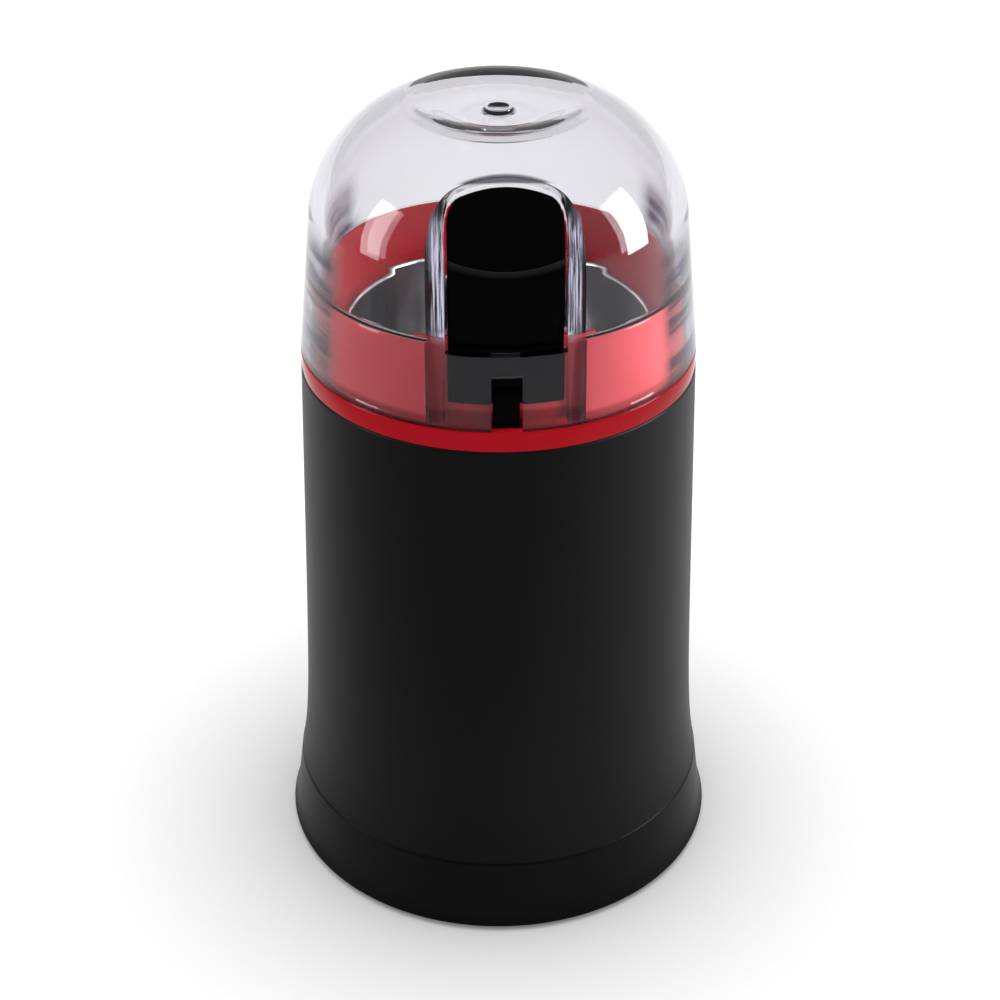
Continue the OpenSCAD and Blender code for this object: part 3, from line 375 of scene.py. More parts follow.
def lid_hollow():
    """Hollow of the lid, with the ledge that lies over the neck's rim."""
    step_z = NECK_Z + 0.3
    outer, inner = side_radius(step_z, LID_WALL), side_radius(step_z, CROWN_WALL)
    ledge = [(outer, step_z - 0.4)] + arc(outer - 0.4, step_z - 0.4, 0.4, 30, 90, 2) + [
        (inner + 0.5, step_z)] + arc(inner + 0.5, step_z + 0.5, 0.5, -110, -180, 3)
    side = [(side_radius(z, LID_WALL), z) for z in (LID_Z - 1, LID_Z + 5, LID_Z + 10, LID_Z + 14, step_z - 1.2)]
    upper = [(side_radius(z, CROWN_WALL), z) for z in (step_z + 1.2, step_z + 3)]
    return [(0, LID_Z - 1)] + side + ledge + upper + eased(crown(CROWN_WALL), 1)


def channel_plan(grow, z, far=60.0, steps=10):
    """Plan of the button channel, open to the front, with a bowed back."""
    half, back = CHANNEL_HALF_W + grow, CHANNEL_BACK_Y - grow
    corner, bow = CHANNEL_CORNER_R + grow, CHANNEL_BOW_R + grow
    corner_x = half - corner
    lean = math.degrees(math.acos(corner_x / (bow - corner)))
    corner_y = -back - bow + (bow - corner) * math.sin(math.radians(lean))
    right = arc(corner_x, corner_y, corner, 0, lean, steps)
    right += arc(0, -back - bow, bow, lean, 90, steps)[1:]
    left = [(-x, y) for x, y in reversed(right[:-1])]
    return [(x, y, z) for x, y in [(half, -far)] + right + left + [(-half, -far)]]


def build_lid():
    """Clear domed shell with the channel that the button stands in."""
    lid = turned("clear_lid", lid_form(), 160)
    cut(lid, turned("lid_inside", lid_hollow(), 160))

    walls = prism("channel_walls", channel_plan(CHANNEL_WALL, LID_Z - 3, 55), (0, 0, 62))
    cut(walls, prism("channel_space", channel_plan(0, LID_Z - 5), (0, 0, 70)))
    behind = RECESS_R - NECK_WALL - 0.3
    front = RECESS_R + 0.3
    over = NECK_Z + 0.7
    middle = LID_WALL / 2
    keep = turned("wall_keep", [(0, NECK_Z - 5), (behind, NECK_Z - 5), (behind, over), (front, over),
                                (front, LID_Z + 0.01), (LID_R - middle, LID_Z + 0.01)] + crown(middle), 160)
    cut(walls, keep, "INTERSECT")
    cut(lid, walls, "UNION")
    cut(lid, prism("mouth", channel_plan(0.01, LID_Z + BAND_H), (0, 0, 60)))
    cut(lid, block("notch", (-NOTCH_HALF_W, -60, LID_Z - 1), (NOTCH_HALF_W, -front, LID_Z + NOTCH_H)))
    return lid


# ------------------------------------------------------------------ press button

def button_plan(z):
    """The channel's plan, made a little smaller, with a round front face."""
    grow = BUTTON_HALF_W - CHANNEL_HALF_W
    behind = [(x, y) for x, y, _ in channel_plan(grow, z)[1:-1]]
    span = math.degrees(math.asin(BUTTON_HALF_W / BUTTON_FACE_R))
    face = arc(0, 0, BUTTON_FACE_R, -90 - span, -90 + span, 28)
    return [(x, y, z) for x, y in face + behind]


def button_side(grow=0.0):
    """Side of the button: sloped top, rounded fold and straight front."""
    slope = (BUTTON_BACK_Z - BUTTON_FRONT_Z) / (BUTTON_FACE_R - BUTTON_FOLD_R - BUTTON_BACK_Y)
    lift = grow * math.hypot(1, slope)
    back_y = -BUTTON_BACK_Y + 3
    fold_y = -BUTTON_FACE_R + BUTTON_FOLD_R
    side = [(back_y, BUTTON_BACK_Z + 3 * slope + lift)]
    side += arc(fold_y, BUTTON_FRONT_Z - BUTTON_FOLD_R, BUTTON_FOLD_R + grow, 130, 180, 8)
    side += [(-BUTTON_FACE_R - grow, SHELL_Z - 2), (back_y, SHELL_Z - 2)]
    return [(-20, y, z) for y, z in side]


def on_slope(obj, out):
    """Tilts a tool like the button's top and puts it out from the middle of that face."""
    back, front = BUTTON_BACK_Y, BUTTON_FACE_R - BUTTON_FOLD_R
    tilt = math.atan2(BUTTON_BACK_Z - BUTTON_FRONT_Z, front - back)
    y = -(back + front) / 2 - out * math.sin(tilt)
    z = (BUTTON_BACK_Z + BUTTON_FRONT_Z) / 2 + out * math.cos(tilt)
    only(obj)
    obj.rotation_euler = (tilt - math.pi / 2, 0, 0)
    obj.location = Vector((0, y, z)) * MM
    bpy.ops.object.transform_apply(location=True, rotation=True)
    return obj


def crown_bar():
    """Lying round bar that the top's sides fall away along."""
    bar_r = 120
    bpy.ops.object.select_all(action="DESELECT")
    bpy.ops.mesh.primitive_cylinder_add(vertices=512, radius=bar_r * MM, depth=80 * MM)
    return on_slope(bpy.context.object, -bar_r)


def build_button():
    """Wedge-topped cap whose top falls away to the sides, and the skirt and tongue under it."""
    cap = prism("press_cap", button_plan(SHELL_Z), (0, 0, 30))
    cut(cap, prism("cap_side", button_side(), (40, 0, 0)), "INTERSECT")
    cut(cap, crown_bar(), "INTERSECT")
    rounded(cap, 0.5, 3, 30)
    skirt = turned("skirt", ring_of([(BUTTON_FACE_R - 1.8, LID_Z + 4.2), (BUTTON_FACE_R - 0.02, LID_Z + 4.2),
                                     (BUTTON_FACE_R - 0.02, SHELL_Z + 6), (BUTTON_FACE_R - 1.8, SHELL_Z + 6)]), 160)
    cut(skirt, block("skirt_keep", (-BUTTON_HALF_W + 0.02, -60, 0), (BUTTON_HALF_W - 0.02, -20, 300)), "INTERSECT")
    cut(cap, skirt, "UNION")
    tongue = block("tongue", (-TONGUE_HALF_W, -39.7, 104), (TONGUE_HALF_W, -36.2, LID_Z + 7.2))
    rounded(tongue, 0.35, 2, 40)
    cut(cap, tongue, "UNION")
    return cap


PIECES = {}


def add_piece(obj, body, slot, *nodes):
    """A finished piece: it rides on a body and stands for CAD nodes."""
    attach(obj, body)
    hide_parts(*nodes)
    PIECES[obj.name] = obj


add_piece(smooth(build_base_skirt()), "housing", "black_plastic", "base_skirt")
add_piece(smooth(build_sleeve()), "housing", "black_satin", "outer_sleeve")
add_piece(smooth(build_housing()), "housing", "red_gloss", "upper_housing")
add_piece(smooth(build_bowl(), 60), "housing", "bowl_steel", "grinding_bowl")
add_piece(smooth(build_lid()), "lid", "clear_plastic", "lid")
add_piece(smooth(build_button()), "button", "black_gloss", "press_button")


# ------------------------------------------------------------------ materials

def new_group(name, inputs, outputs):
    group = bpy.data.node_groups.new(name, "ShaderNodeTree")
    for label, kind, value in inputs:
        socket = group.interface.new_socket(label, in_out="INPUT", socket_type=kind)
        if value is not None:
            socket.default_value = value
    for label, kind in outputs:
        group.interface.new_socket(label, in_out="OUTPUT", socket_type=kind)
    return group, group.nodes.new("NodeGroupInput"), group.nodes.new("NodeGroupOutput")


def math_node(tree, operation, a, b=None, clamp=False):
    node = tree.nodes.new("ShaderNodeMath")
    node.operation = operation
    node.use_clamp = clamp
    for i, value in enumerate((a, b)):
        if value is None:
            continue
        if isinstance(value, (int, float)):
            node.inputs[i].default_value = value
        else:
            tree.links.new(value, node.inputs[i])
    return node.outputs[0]


def noise_node(tree, vector, scale, detail=2.0):
    node = tree.nodes.new("ShaderNodeTexNoise")
    node.inputs["Detail"].default_value = detail
    tree.links.new(vector, node.inputs["Vector"])
    if isinstance(scale, (int, float)):
        node.inputs["Scale"].default_value = scale
    else:
        tree.links.new(scale, node.inputs["Scale"])
    return node.outputs["Fac"]


def finish_group(group, inp, out, tone, height, distance):
    """Wires tone and height to a group's Tone, Rough and Normal outputs."""
    bump = group.nodes.new("ShaderNodeBump")
    bump.inputs["Distance"].default_value = distance * MM
    group.links.new(height, bump.inputs["Height"])
    group.links.new(inp.outputs["Relief"], bump.inputs["Strength"])
    centred = math_node(group, "SUBTRACT", tone, 0.5)
    scaled = math_node(group, "MULTIPLY", centred, inp.outputs["Spread"])
    group.links.new(math_node(group, "ADD", scaled, inp.outputs["Rough"]), out.inputs["Rough"])
    group.links.new(bump.outputs["Normal"], out.inputs["Normal"])
    group.links.new(tone, out.inputs["Tone"])
    return group


def finish_sockets(grain):
    inputs = [("Rough", "NodeSocketFloat", 0.3), ("Spread", "NodeSocketFloat", 0.05),
              ("Grain", "NodeSocketFloat", grain), ("Relief", "NodeSocketFloat", 0.1)]
    outputs = [("Tone", "NodeSocketFloat"), ("Rough", "NodeSocketFloat"), ("Normal", "NodeSocketVector")]
    return inputs, outputs


def moulded_group():
    """Fine moulded or cast skin: soft flow marks in tone and gloss, and a faint grain."""
    group, inp, out = new_group("moulded_skin", *finish_sockets(4000.0))
    place = group.nodes.new("ShaderNodeTexCoord").outputs["Object"]
    flow = noise_node(group, place, 38.0, 4.0)
    grain = noise_node(group, place, inp.outputs["Grain"])
    return finish_group(group, inp, out, flow, grain, 0.04)


def turned_group():
    """Tool marks of a lathe: fine rings round Z, in tone, gloss and height."""
    group, inp, out = new_group("turned_marks", *finish_sockets(1500.0))
    place = group.nodes.new("ShaderNodeTexCoord").outputs["Object"]
    split = group.nodes.new("ShaderNodeSeparateXYZ")
    group.links.new(place, split.inputs[0])
    across = math_node(group, "MULTIPLY", split.outputs["X"], split.outputs["X"])
    along = math_node(group, "MULTIPLY", split.outputs["Y"], split.outputs["Y"])
    radius = math_node(group, "SQRT", math_node(group, "ADD", across, along))
    join = group.nodes.new("ShaderNodeCombineXYZ")
    group.links.new(radius, join.inputs["X"])
    group.links.new(split.outputs["Z"], join.inputs["Z"])
    rings = noise_node(group, join.outputs[0], inp.outputs["Grain"], 3.0)
    return finish_group(group, inp, out, rings, rings, 0.01)


def brushed_group(name, along):
    """Drawn or ground metal: lines along the axis that is shrunk, in tone, gloss and height. On the steel bowl the
    tone lines are painted reflection streaks.
    """
    group, inp, out = new_group(name, *finish_sockets(1500.0))
    place = group.nodes.new("ShaderNodeTexCoord").outputs["Object"]
    stretch = group.nodes.new("ShaderNodeMapping")
    stretch.inputs["Scale"].default_value = along
    group.links.new(place, stretch.inputs["Vector"])
    lines = noise_node(group, stretch.outputs["Vector"], inp.outputs["Grain"], 3.0)
    return finish_group(group, inp, out, lines, lines, 0.01)


def layered_group():
    """Layers stacked along Z, such as sheets of a core or turns of a coil."""
    group, inp, out = new_group("layers", *finish_sockets(2000.0))
    place = group.nodes.new("ShaderNodeTexCoord").outputs["Object"]
    split = group.nodes.new("ShaderNodeSeparateXYZ")
    group.links.new(place, split.inputs[0])
    wander = math_node(group, "MULTIPLY", noise_node(group, place, 400.0), 0.6)
    turns = math_node(group, "MULTIPLY", split.outputs["Z"], inp.outputs["Grain"])
    phase = math_node(group, "MULTIPLY", math_node(group, "ADD", turns, wander), 2 * math.pi)
    wave = math_node(group, "ADD", math_node(group, "MULTIPLY", math_node(group, "SINE", phase), 0.5), 0.5)
    patch = noise_node(group, place, 120.0)
    tone = math_node(group, "ADD", math_node(group, "MULTIPLY", wave, 0.5), math_node(group, "MULTIPLY", patch, 0.5))
    return finish_group(group, inp, out, tone, wave, 0.12)


def shade_streaks_group():
    """Streaks that run round a clear wall, full below the low height and gone above the high one; they break up the
    painted shade at the lid's grazing edges.
    """
    inputs = [("Low", "NodeSocketFloat", 0.12), ("High", "NodeSocketFloat", 0.15)]
    group, inp, out = new_group("wall_shade_streaks", inputs, [("Tone", "NodeSocketFloat")])
    place = group.nodes.new("ShaderNodeTexCoord").outputs["Object"]
    stretch = group.nodes.new("ShaderNodeMapping")
    stretch.inputs["Scale"].default_value = (30, 30, 420)
    group.links.new(place, stretch.inputs["Vector"])
    lines = noise_node(group, stretch.outputs["Vector"], 1.0, 3.0)
    sharp = group.nodes.new("ShaderNodeMapRange")
    sharp.inputs["From Min"].default_value = 0.38
    sharp.inputs["From Max"].default_value = 0.58
    sharp.inputs["To Min"].default_value = 0.80
    group.links.new(lines, sharp.inputs["Value"])
    split = group.nodes.new("ShaderNodeSeparateXYZ")
    group.links.new(place, split.inputs[0])
    fade = group.nodes.new("ShaderNodeMapRange")
    fade.interpolation_type = "SMOOTHSTEP"
    group.links.new(split.outputs["Z"], fade.inputs["Value"])
    group.links.new(inp.outputs["Low"], fade.inputs["From Max"])
    group.links.new(inp.outputs["High"], fade.inputs["From Min"])
    group.links.new(math_node(group, "MULTIPLY", sharp.outputs[0], fade.outputs[0]), out.inputs["Tone"])
    return group


def between(tree, value, low, high, soft):
    """Rises to 1 between two levels of a value, with soft ends."""
    up = math_node(tree, "DIVIDE", math_node(tree, "SUBTRACT", value, low), soft, clamp=True)
    down = math_node(tree, "DIVIDE", math_node(tree, "SUBTRACT", high, value), soft, clamp=True)
    return math_node(tree, "MULTIPLY", up, down)


def rail_light_and_shade_group():
    """Painted light in streaks down the channel's side walls, and painted shade on the dark edge of its back wall."""
    group, inp, out = new_group("rail_painted_light_and_shade", [], [("Tone", "NodeSocketFloat"), ("Painted_Arch_Shade", "NodeSocketFloat")])
    place = group.nodes.new("ShaderNodeTexCoord").outputs["Object"]
    split = group.nodes.new("ShaderNodeSeparateXYZ")
    group.links.new(place, split.inputs[0])
    out_x = math_node(group, "ABSOLUTE", split.outputs["X"])
    wall_x = CHANNEL_HALF_W + CHANNEL_WALL
    wide = between(group, out_x, (CHANNEL_HALF_W - 0.2) * MM, (wall_x - 0.4) * MM, 0.4 * MM)
    tall = between(group, split.outputs["Z"], (NECK_Z + 0.6) * MM, (BUTTON_FRONT_Z + 6) * MM, 4 * MM)
    fore = between(group, split.outputs["Y"], -60 * MM, -31 * MM, 2 * MM)
    stretch = group.nodes.new("ShaderNodeMapping")
    stretch.inputs["Scale"].default_value = (1, 0.1, 0.03)
    group.links.new(place, stretch.inputs["Vector"])
    lines = noise_node(group, stretch.outputs["Vector"], 2600.0, 3.0)
    sharp = math_node(group, "MULTIPLY", math_node(group, "SUBTRACT", lines, 0.40), 4.5, clamp=True)
    area = math_node(group, "MULTIPLY", wide, math_node(group, "MULTIPLY", tall, fore))
    group.links.new(math_node(group, "MULTIPLY", area, sharp), out.inputs["Tone"])
    bow = math_node(group, "DIVIDE", math_node(group, "MULTIPLY", out_x, out_x), 2 * CHANNEL_BOW_R * MM)
    behind = math_node(group, "SUBTRACT", math_node(group, "MULTIPLY", split.outputs["Y"], -1), bow)
    deep = between(group, behind, (CHANNEL_BACK_Y - 0.8) * MM, (CHANNEL_BACK_Y + 1.6) * MM, 0.4 * MM)
    near = between(group, out_x, -1, (CHANNEL_HALF_W + 1) * MM, 2 * MM)
    high = between(group, split.outputs["Z"], (BUTTON_BACK_Z + 0.2) * MM, 1, 0.5 * MM)
    arch = math_node(group, "MULTIPLY", deep, math_node(group, "MULTIPLY", near, high))
    group.links.new(arch, out.inputs["Painted_Arch_Shade"])
    return group


def neck_light_group():
    """Marks the outer face of the neck for painted light, standing for the light that gathers there behind the lid."""
    group, inp, out = new_group("neck_painted_light", [], [("Tone", "NodeSocketFloat")])
    coords = group.nodes.new("ShaderNodeTexCoord")
    place = group.nodes.new("ShaderNodeSeparateXYZ")
    group.links.new(coords.outputs["Object"], place.inputs[0])
    facing = group.nodes.new("ShaderNodeSeparateXYZ")
    group.links.new(coords.outputs["Normal"], facing.inputs[0])
    across = math_node(group, "MULTIPLY", place.outputs["X"], facing.outputs["X"])
    along = math_node(group, "MULTIPLY", place.outputs["Y"], facing.outputs["Y"])
    outward = between(group, math_node(group, "ADD", across, along), 20 * MM, 1, 5 * MM)
    band = between(group, place.outputs["Z"], (LID_Z + 1) * MM, (NECK_Z + 2) * MM, 1 * MM)
    drift = noise_node(group, coords.outputs["Object"], 38.0, 1.0)
    soft = math_node(group, "MULTIPLY", math_node(group, "ADD", drift, 0.5), 0.95, clamp=True)
    area = math_node(group, "MULTIPLY", outward, band)
    group.links.new(math_node(group, "MULTIPLY", area, soft), out.inputs["Tone"])
    return group


def fold_highlight_group():
    """Marks the fold between the press cap's sloped top and its face, where a painted highlight goes."""
    group, inp, out = new_group("cap_fold_highlight", [], [("Tone", "NodeSocketFloat")])
    coords = group.nodes.new("ShaderNodeTexCoord")
    split = group.nodes.new("ShaderNodeSeparateXYZ")
    group.links.new(coords.outputs["Normal"], split.inputs[0])
    bend = between(group, split.outputs["Z"], 0.03, 0.46, 0.10)
    place = group.nodes.new("ShaderNodeSeparateXYZ")
    group.links.new(coords.outputs["Object"], place.inputs[0])
    high = between(group, place.outputs["Z"], (BUTTON_FRONT_Z - 6) * MM, 1, 1 * MM)
    group.links.new(math_node(group, "MULTIPLY", bend, high), out.inputs["Tone"])
    return group


MOULDED = moulded_group()
SHADE_STREAKS = shade_streaks_group()
RAIL_LIGHT_AND_SHADE = rail_light_and_shade_group()
FOLD_HIGHLIGHT = fold_highlight_group()
NECK_PAINTED_LIGHT = neck_light_group()
TURNED = turned_group()
BRUSHED = brushed_group("brushed_lines", (0.04, 1, 1))
BOWL_REFLECTION_STREAKS = brushed_group("bowl_painted_reflection_streaks", (1, 1, 0.06))
LAYERED = layered_group()


def base_material(name, **sockets):
    mat = bpy.data.materials.new(name)
    mat.use_nodes = True
    shader = mat.node_tree.nodes["Principled BSDF"]
    for label, value in sockets.items():
        shader.inputs[label.replace("_", " ")].default_value = value
    return mat, mat.node_tree, shader


def finished(name, pattern, dark, light, rough, spread=0.06, grain=4000.0, relief=0.1, **sockets):
    """A material whose colour, gloss and relief follow one pattern, between two close colours."""
    mat, tree, shader = base_material(name, **sockets)
    skin = tree.nodes.new("ShaderNodeGroup")
    skin.node_tree = pattern
    for label, value in (("Rough", rough), ("Spread", spread), ("Grain", grain), ("Relief", relief)):
        skin.inputs[label].default_value = value
    ramp = tree.nodes.new("ShaderNodeValToRGB")
    ramp.color_ramp.elements[0].position = 0.3
    ramp.color_ramp.elements[0].color = (*dark, 1)
    ramp.color_ramp.elements[1].position = 0.7
    ramp.color_ramp.elements[1].color = (*light, 1)
    tree.links.new(skin.outputs["Tone"], ramp.inputs["Fac"])
    tree.links.new(ramp.outputs["Color"], shader.inputs["Base Color"])
    tree.links.new(skin.outputs["Rough"], shader.inputs["Roughness"])
    tree.links.new(skin.outputs["Normal"], shader.inputs["Normal"])
    return mat


def clear_plastic():
    """Polished clear plastic: violet where the way through it is long, and light passes in its shade. Painted shade
    turns its grazing edges below the shoulder and the arch of the button channel a dark violet, and painted light runs
    in streaks down the channel's side walls.
    """
    mat = finished("clear_plastic", MOULDED, (0.955, 0.955, 0.970), (0.965, 0.965, 0.978), 0.02, spread=0.01,
                   relief=0.0, Transmission_Weight=1.0, IOR=1.5, Specular_Tint=(0.55, 0.55, 0.58, 1))
    tree = mat.node_tree
    shader = tree.nodes["Principled BSDF"]
    edge = tree.nodes.new("ShaderNodeLayerWeight")
    edge.inputs["Blend"].default_value = 0.5
    rim = tree.nodes.new("ShaderNodeMapRange")
    rim.interpolation_type = "SMOOTHSTEP"
    rim.inputs["From Min"].default_value = 0.43
    rim.inputs["From Max"].default_value = 0.56
    tree.links.new(edge.outputs["Facing"], rim.inputs["Value"])
    streaks = tree.nodes.new("ShaderNodeGroup")
    streaks.node_tree = SHADE_STREAKS
    streaks.inputs["Low"].default_value = (SHOULDER_Z - 4) * MM
    streaks.inputs["High"].default_value = (SHOULDER_Z + 3) * MM
    rails = tree.nodes.new("ShaderNodeGroup")
    rails.node_tree = RAIL_LIGHT_AND_SHADE
    # Painted shade: grazing edges, broken by the streaks, and the channel's arch are mixed towards a near-black
    # violet.
    share = math_node(tree, "MULTIPLY", rim.outputs[0], streaks.outputs["Tone"])
    share = math_node(tree, "MAXIMUM", share, math_node(tree, "MULTIPLY", rails.outputs["Painted_Arch_Shade"], 0.95))
    painted_shade_mix = tree.nodes.new("ShaderNodeMix")
    painted_shade_mix.data_type = "RGBA"
    tree.links.new(share, painted_shade_mix.inputs["Factor"])
    tree.links.new(shader.inputs["Base Color"].links[0].from_socket, painted_shade_mix.inputs[6])
    painted_shade_mix.inputs[7].default_value = (0.006, 0.003, 0.02, 1)
    tree.links.new(painted_shade_mix.outputs[2], shader.inputs["Base Color"])
    surface = tree.nodes["Material Output"].inputs["Surface"]
    # Painted light: a pale violet diffuse layer is mixed in along the side-wall streaks.
    glow = tree.nodes.new("ShaderNodeBsdfDiffuse")
    glow.inputs["Color"].default_value = (0.80, 0.78, 1.00, 1)
    with_rail_light = tree.nodes.new("ShaderNodeMixShader")
    tree.links.new(math_node(tree, "MULTIPLY", rails.outputs["Tone"], 0.8), with_rail_light.inputs[0])
    tree.links.new(shader.outputs[0], with_rail_light.inputs[1])
    tree.links.new(glow.outputs[0], with_rail_light.inputs[2])
    shade = tree.nodes.new("ShaderNodeBsdfTransparent")
    shade.inputs["Color"].default_value = (0.97, 0.97, 0.98, 1)
    path = tree.nodes.new("ShaderNodeLightPath")
    mix = tree.nodes.new("ShaderNodeMixShader")
    tree.links.new(path.outputs["Is Shadow Ray"], mix.inputs[0])
    tree.links.new(with_rail_light.outputs[0], mix.inputs[1])
    tree.links.new(shade.outputs[0], mix.inputs[2])
    tree.links.new(mix.outputs[0], surface)
    depth = tree.nodes.new("ShaderNodeVolumeAbsorption")
    depth.inputs["Color"].default_value = (0.50, 0.48, 0.54, 1)
    depth.inputs["Density"].default_value = 80
    tree.links.new(depth.outputs[0], tree.nodes["Material Output"].inputs["Volume"])
    return mat


def toned(mat, group, colour):
    """Mixes a second colour in where a group marks the surface."""
    tree = mat.node_tree
    shader = tree.nodes["Principled BSDF"]
    marks = tree.nodes.new("ShaderNodeGroup")
    marks.node_tree = group
    mix = tree.nodes.new("ShaderNodeMix")
    mix.data_type = "RGBA"
    tree.links.new(marks.outputs["Tone"], mix.inputs["Factor"])
    tree.links.new(shader.inputs["Base Color"].links[0].from_socket, mix.inputs[6])
    mix.inputs[7].default_value = (*colour, 1)
    tree.links.new(mix.outputs[2], shader.inputs["Base Color"])
    return mat


def dress(mat, *names):
    """Puts a material on new pieces and on CAD nodes."""
    for name in names:
        obj = PIECES.get(name) or NODES[name]
        if not obj.material_slots:
            obj.data.materials.append(mat)
        for slot in obj.material_slots:
            slot.material = mat


# The casing
dress(finished("satin_black", MOULDED, (0.0020, 0.0020, 0.0024), (0.0028, 0.0028, 0.0033), 0.42, grain=6000.0,
               Specular_IOR_Level=0.09), "sleeve_shell")
dress(finished("base_black", MOULDED, (0.0020, 0.0020, 0.0024), (0.0028, 0.0028, 0.0033), 0.34, grain=6000.0,
               Specular_IOR_Level=0.06), "base_shell")
gloss_black = finished("gloss_black", MOULDED, (0.0006, 0.0006, 0.0007), (0.0010, 0.0010, 0.0012), 0.06,
                       spread=0.03, relief=0.01, Specular_IOR_Level=0.02)
# Painted highlight: a grey band along the press cap's fold.
dress(toned(gloss_black, FOLD_HIGHLIGHT, (0.060, 0.060, 0.065)), "press_cap")
red_moulding = finished("red_moulding", MOULDED, (0.36, 0.004, 0.010), (0.40, 0.005, 0.012), 0.10, spread=0.03,
                        relief=0.005, Specular_IOR_Level=0.06)
# Painted light: the neck's outer face is mixed towards a lighter pink red.
dress(toned(red_moulding, NECK_PAINTED_LIGHT, (0.74, 0.075, 0.090)), "neck_and_collar")
# Painted reflections: the bowl's tone runs in wide light and dark streaks up its wall.
dress(finished("polished_bowl", BOWL_REFLECTION_STREAKS, (0.34, 0.34, 0.35), (0.96, 0.96, 0.96), 0.16, spread=0.10,
               grain=110.0, relief=0.05, Metallic=1.0), "steel_bowl")
dress(clear_plastic(), "clear_lid")

# Under the base
dress(finished("cover_plastic", MOULDED, (0.010, 0.010, 0.011), (0.014, 0.014, 0.016), 0.55, grain=3500.0,
               relief=0.3, Specular_IOR_Level=0.3), "bottom_cover")
dress(finished("soft_rubber", MOULDED, (0.014, 0.014, 0.015), (0.022, 0.022, 0.023), 0.78, spread=0.1,
               grain=2500.0, relief=0.35, Specular_IOR_Level=0.3),
      "rubber_feet", "cord_inlet_bush", "motor_mounts", "shaft_seal")
dress(finished("plated_steel", TURNED, (0.56, 0.57, 0.60), (0.68, 0.69, 0.71), 0.30, spread=0.1,
               grain=2600.0, relief=0.15, Metallic=1.0),
      "base_screws", "collar_screws", "motor_screws", "switch_screws", "bowl_nut")

# Bowl bush, blade and shaft
dress(finished("turned_steel", TURNED, (0.60, 0.60, 0.62), (0.74, 0.74, 0.76), 0.24, spread=0.1,
               grain=1800.0, relief=0.2, Metallic=1.0), "bowl_bush", "blade_spacer", "blade_nut", "motor_shaft")
dress(finished("ground_blade", BRUSHED, (0.62, 0.63, 0.65), (0.80, 0.81, 0.83), 0.22, spread=0.12,
               grain=3200.0, relief=0.25, Metallic=1.0), "grinding_blade")

# Motor
dress(finished("cast_alloy", MOULDED, (0.46, 0.47, 0.49), (0.58, 0.59, 0.61), 0.46, spread=0.14,
               grain=1400.0, relief=0.5, Metallic=1.0), "upper_bridge")
dress(finished("filled_nylon", MOULDED, (0.020, 0.020, 0.022), (0.034, 0.034, 0.037), 0.50, grain=2600.0,
               relief=0.25), "lower_bridge", "switch_bracket")
dress(finished("switch_case", MOULDED, (0.016, 0.016, 0.019), (0.024, 0.024, 0.028), 0.38, grain=3800.0,
               relief=0.15), "microswitch")
dress(finished("oiled_bronze", MOULDED, (0.40, 0.27, 0.12), (0.56, 0.41, 0.20), 0.42, spread=0.16,
               grain=5200.0, relief=0.5, Metallic=1.0), "upper_bearing", "lower_bearing")
dress(finished("stacked_sheet", LAYERED, (0.20, 0.20, 0.21), (0.36, 0.37, 0.39), 0.42, spread=0.16,
               grain=2000.0, relief=0.8, Metallic=1.0), "stator_core", "rotor_core")
dress(finished("enamelled_wire", LAYERED, (0.34, 0.10, 0.03), (0.66, 0.27, 0.10), 0.28, spread=0.12,
               grain=2600.0, relief=1.0, Metallic=1.0), "field_coils", "rotor_windings")
dress(finished("brass_strip", BRUSHED, (0.62, 0.45, 0.18), (0.76, 0.60, 0.28), 0.30, spread=0.1,
               grain=2600.0, relief=0.15, Metallic=1.0), "brush_holders")
dress(finished("pressed_carbon", MOULDED, (0.026, 0.026, 0.027), (0.048, 0.048, 0.050), 0.60, spread=0.12,
               grain=5200.0, relief=0.4), "carbon_brushes")
dress(finished("bright_wire", BRUSHED, (0.58, 0.59, 0.62), (0.72, 0.73, 0.76), 0.26, spread=0.08,
               grain=2400.0, relief=0.1, Metallic=1.0), "brush_springs", "button_spring")
dress(finished("turned_copper", TURNED, (0.56, 0.26, 0.13), (0.74, 0.40, 0.22), 0.28, spread=0.1,
               grain=2400.0, relief=0.2, Metallic=1.0), "commutator")
dress(finished("natural_nylon", MOULDED, (0.64, 0.62, 0.55), (0.72, 0.70, 0.64), 0.48, grain=2200.0,
               relief=0.2), "cooling_fan", "switch_plunger")


# ------------------------------------------------------------------ floor, light and camera

bpy.ops.object.select_all(action="DESELECT")
bpy.ops.mesh.primitive_circle_add(vertices=96, radius=4, fill_type="NGON", location=(0, 0, 0))
floor = bpy.context.object
floor.name = "floor"
floor_mat, tree, shader = base_material("floor_white", Roughness=0.9, Specular_IOR_Level=0.0)
path = tree.nodes.new("ShaderNodeLightPath")
split = tree.nodes.new("ShaderNodeSeparateXYZ")
tree.links.new(tree.nodes.new("ShaderNodeTexCoord").outputs["Object"], split.inputs[0])
# Painted shade: for glossy rays only, the floor goes grey in front of the object and to its left, so the black parts
# reflect a dark floor.
front = tree.nodes.new("ShaderNodeMapRange")
front.interpolation_type = "SMOOTHSTEP"
front.inputs["From Min"].default_value = -0.04
front.inputs["From Max"].default_value = -0.16
lean = math_node(tree, "MULTIPLY", split.outputs["X"], 0.6)
tree.links.new(math_node(tree, "ADD", split.outputs["Y"], lean), front.inputs["Value"])
painted_dark_front = math_node(tree, "MULTIPLY", front.outputs[0], path.outputs["Is Glossy Ray"])
colour = tree.nodes.new("ShaderNodeMix")
colour.data_type = "RGBA"
tree.links.new(painted_dark_front, colour.inputs["Factor"])
colour.inputs[6].default_value = (0.92, 0.92, 0.925, 1)
colour.inputs[7].default_value = (0.45, 0.45, 0.45, 1)
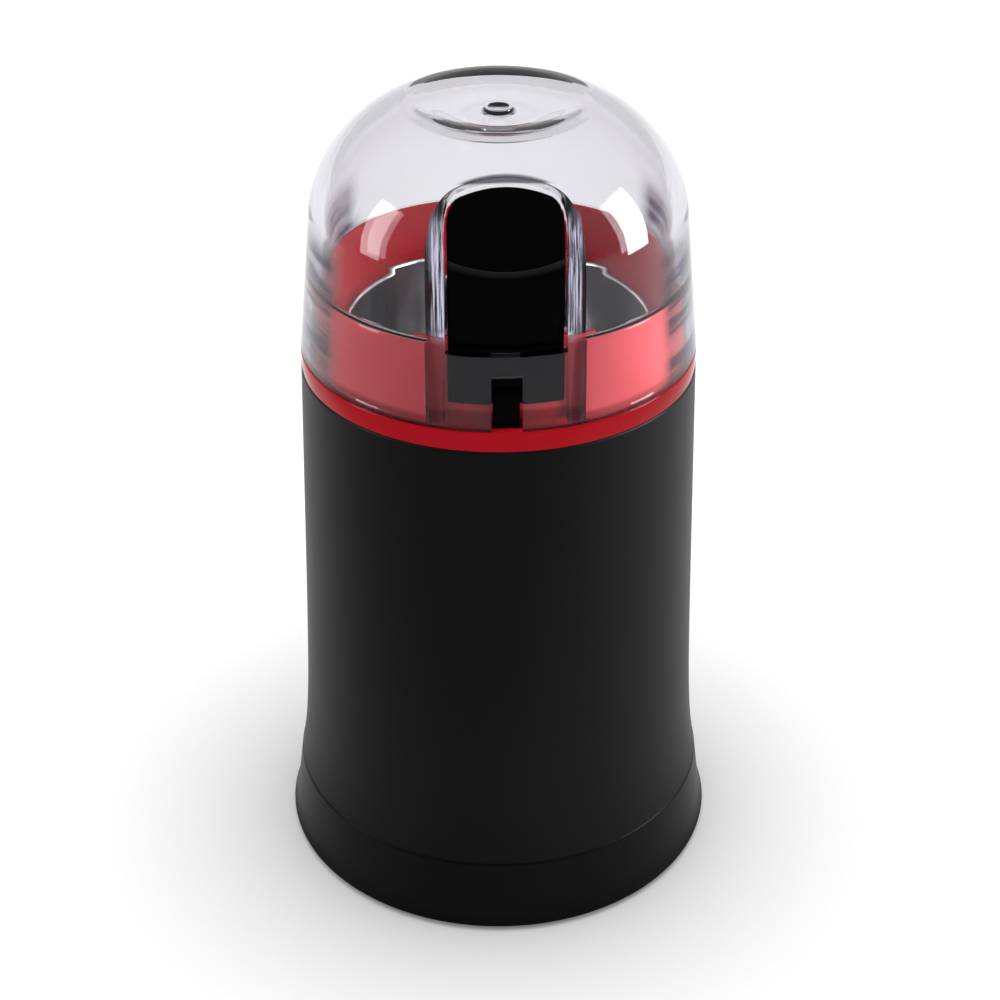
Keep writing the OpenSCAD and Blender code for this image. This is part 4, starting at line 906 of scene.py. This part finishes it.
# Painted shadow: ambient occlusion darkens the floor's colour near the object, mixed in at three quarters.
near = tree.nodes.new("ShaderNodeAmbientOcclusion")
near.inputs["Distance"].default_value = 0.07
tree.links.new(colour.outputs[2], near.inputs["Color"])
soft = tree.nodes.new("ShaderNodeMix")
soft.data_type = "RGBA"
soft.inputs["Factor"].default_value = 0.75
tree.links.new(colour.outputs[2], soft.inputs[6])
tree.links.new(near.outputs["Color"], soft.inputs[7])
tree.links.new(soft.outputs[2], shader.inputs["Base Color"])
glow = math_node(tree, "MAXIMUM", path.outputs["Is Camera Ray"], path.outputs["Is Glossy Ray"])
glow = math_node(tree, "MAXIMUM", glow, path.outputs["Is Transmission Ray"])
tree.links.new(math_node(tree, "MULTIPLY", glow, 0.12), shader.inputs["Emission Strength"])
shader.inputs["Emission Color"].default_value = (1, 1, 1, 1)
floor.data.materials.append(floor_mat)

world = bpy.data.worlds.new("studio")
bpy.context.scene.world = world
world.use_nodes = True
tree = world.node_tree
background = tree.nodes["Background"]
background.inputs["Color"].default_value = (1, 1, 1, 1)
toward = tree.nodes.new("ShaderNodeTexCoord").outputs["Generated"]
split = tree.nodes.new("ShaderNodeSeparateXYZ")
tree.links.new(toward, split.inputs[0])
side = tree.nodes.new("ShaderNodeMapRange")
side.interpolation_type = "SMOOTHSTEP"
side.inputs["From Min"].default_value = -0.8
side.inputs["From Max"].default_value = 0.1
rise = math_node(tree, "MULTIPLY", split.outputs["Z"], 0.9)
tree.links.new(math_node(tree, "ADD", split.outputs["Y"], rise), side.inputs["Value"])
path = tree.nodes.new("ShaderNodeLightPath")
seen = math_node(tree, "MAXIMUM", path.outputs["Is Glossy Ray"], path.outputs["Is Transmission Ray"])


def blend(tree, share, if_0, if_1):
    """Goes from one level to the other as share rises."""
    node = tree.nodes.new("ShaderNodeMix")
    for socket, value in zip(node.inputs, (share, None, if_0, if_1)):
        if isinstance(value, (int, float)):
            socket.default_value = value
        elif value is not None:
            tree.links.new(value, socket)
    return node.outputs[0]


shown = blend(tree, side.outputs[0], 0.25, 0.9)
lit = math_node(tree, "ADD", blend(tree, side.outputs[0], 0.25, 1.25), math_node(tree, "MULTIPLY", split.outputs["X"], 0.2))
level = blend(tree, path.outputs["Is Camera Ray"], blend(tree, seen, lit, shown), 1.0)
tree.links.new(level, background.inputs["Strength"])


def softbox(name, place, target, width, height, power):
    """A lamp that only glossy surfaces show."""
    light = bpy.data.lights.new(name, "AREA")
    light.shape = "RECTANGLE"
    light.size = width
    light.size_y = height
    light.energy = power
    obj = bpy.data.objects.new(name, light)
    bpy.context.scene.collection.objects.link(obj)
    obj.visible_diffuse = False
    obj.location = place
    obj.rotation_euler = (Vector(target) - Vector(place)).to_track_quat("-Z", "Y").to_euler()


softbox("softbox_right", (0.50, -0.06, 0.26), (0.05, 0, 0.10), 0.16, 0.36, 5.0)
softbox("softbox_left", (-0.55, -0.10, 0.26), (-0.05, 0, 0.10), 0.15, 0.4, 1.6)

camera = bpy.data.cameras.new("camera")
camera.lens = 72
camera.sensor_width = 36
camera.shift_x = 0.0014
eye = bpy.data.objects.new("camera", camera)
bpy.context.scene.collection.objects.link(eye)
eye.location = (-0.0153, -0.3814, 0.3163)
eye.rotation_euler = (math.radians(58.55), 0, math.radians(-2.3))
bpy.context.scene.camera = eye
bpy.context.scene.view_settings.view_transform = "Standard"
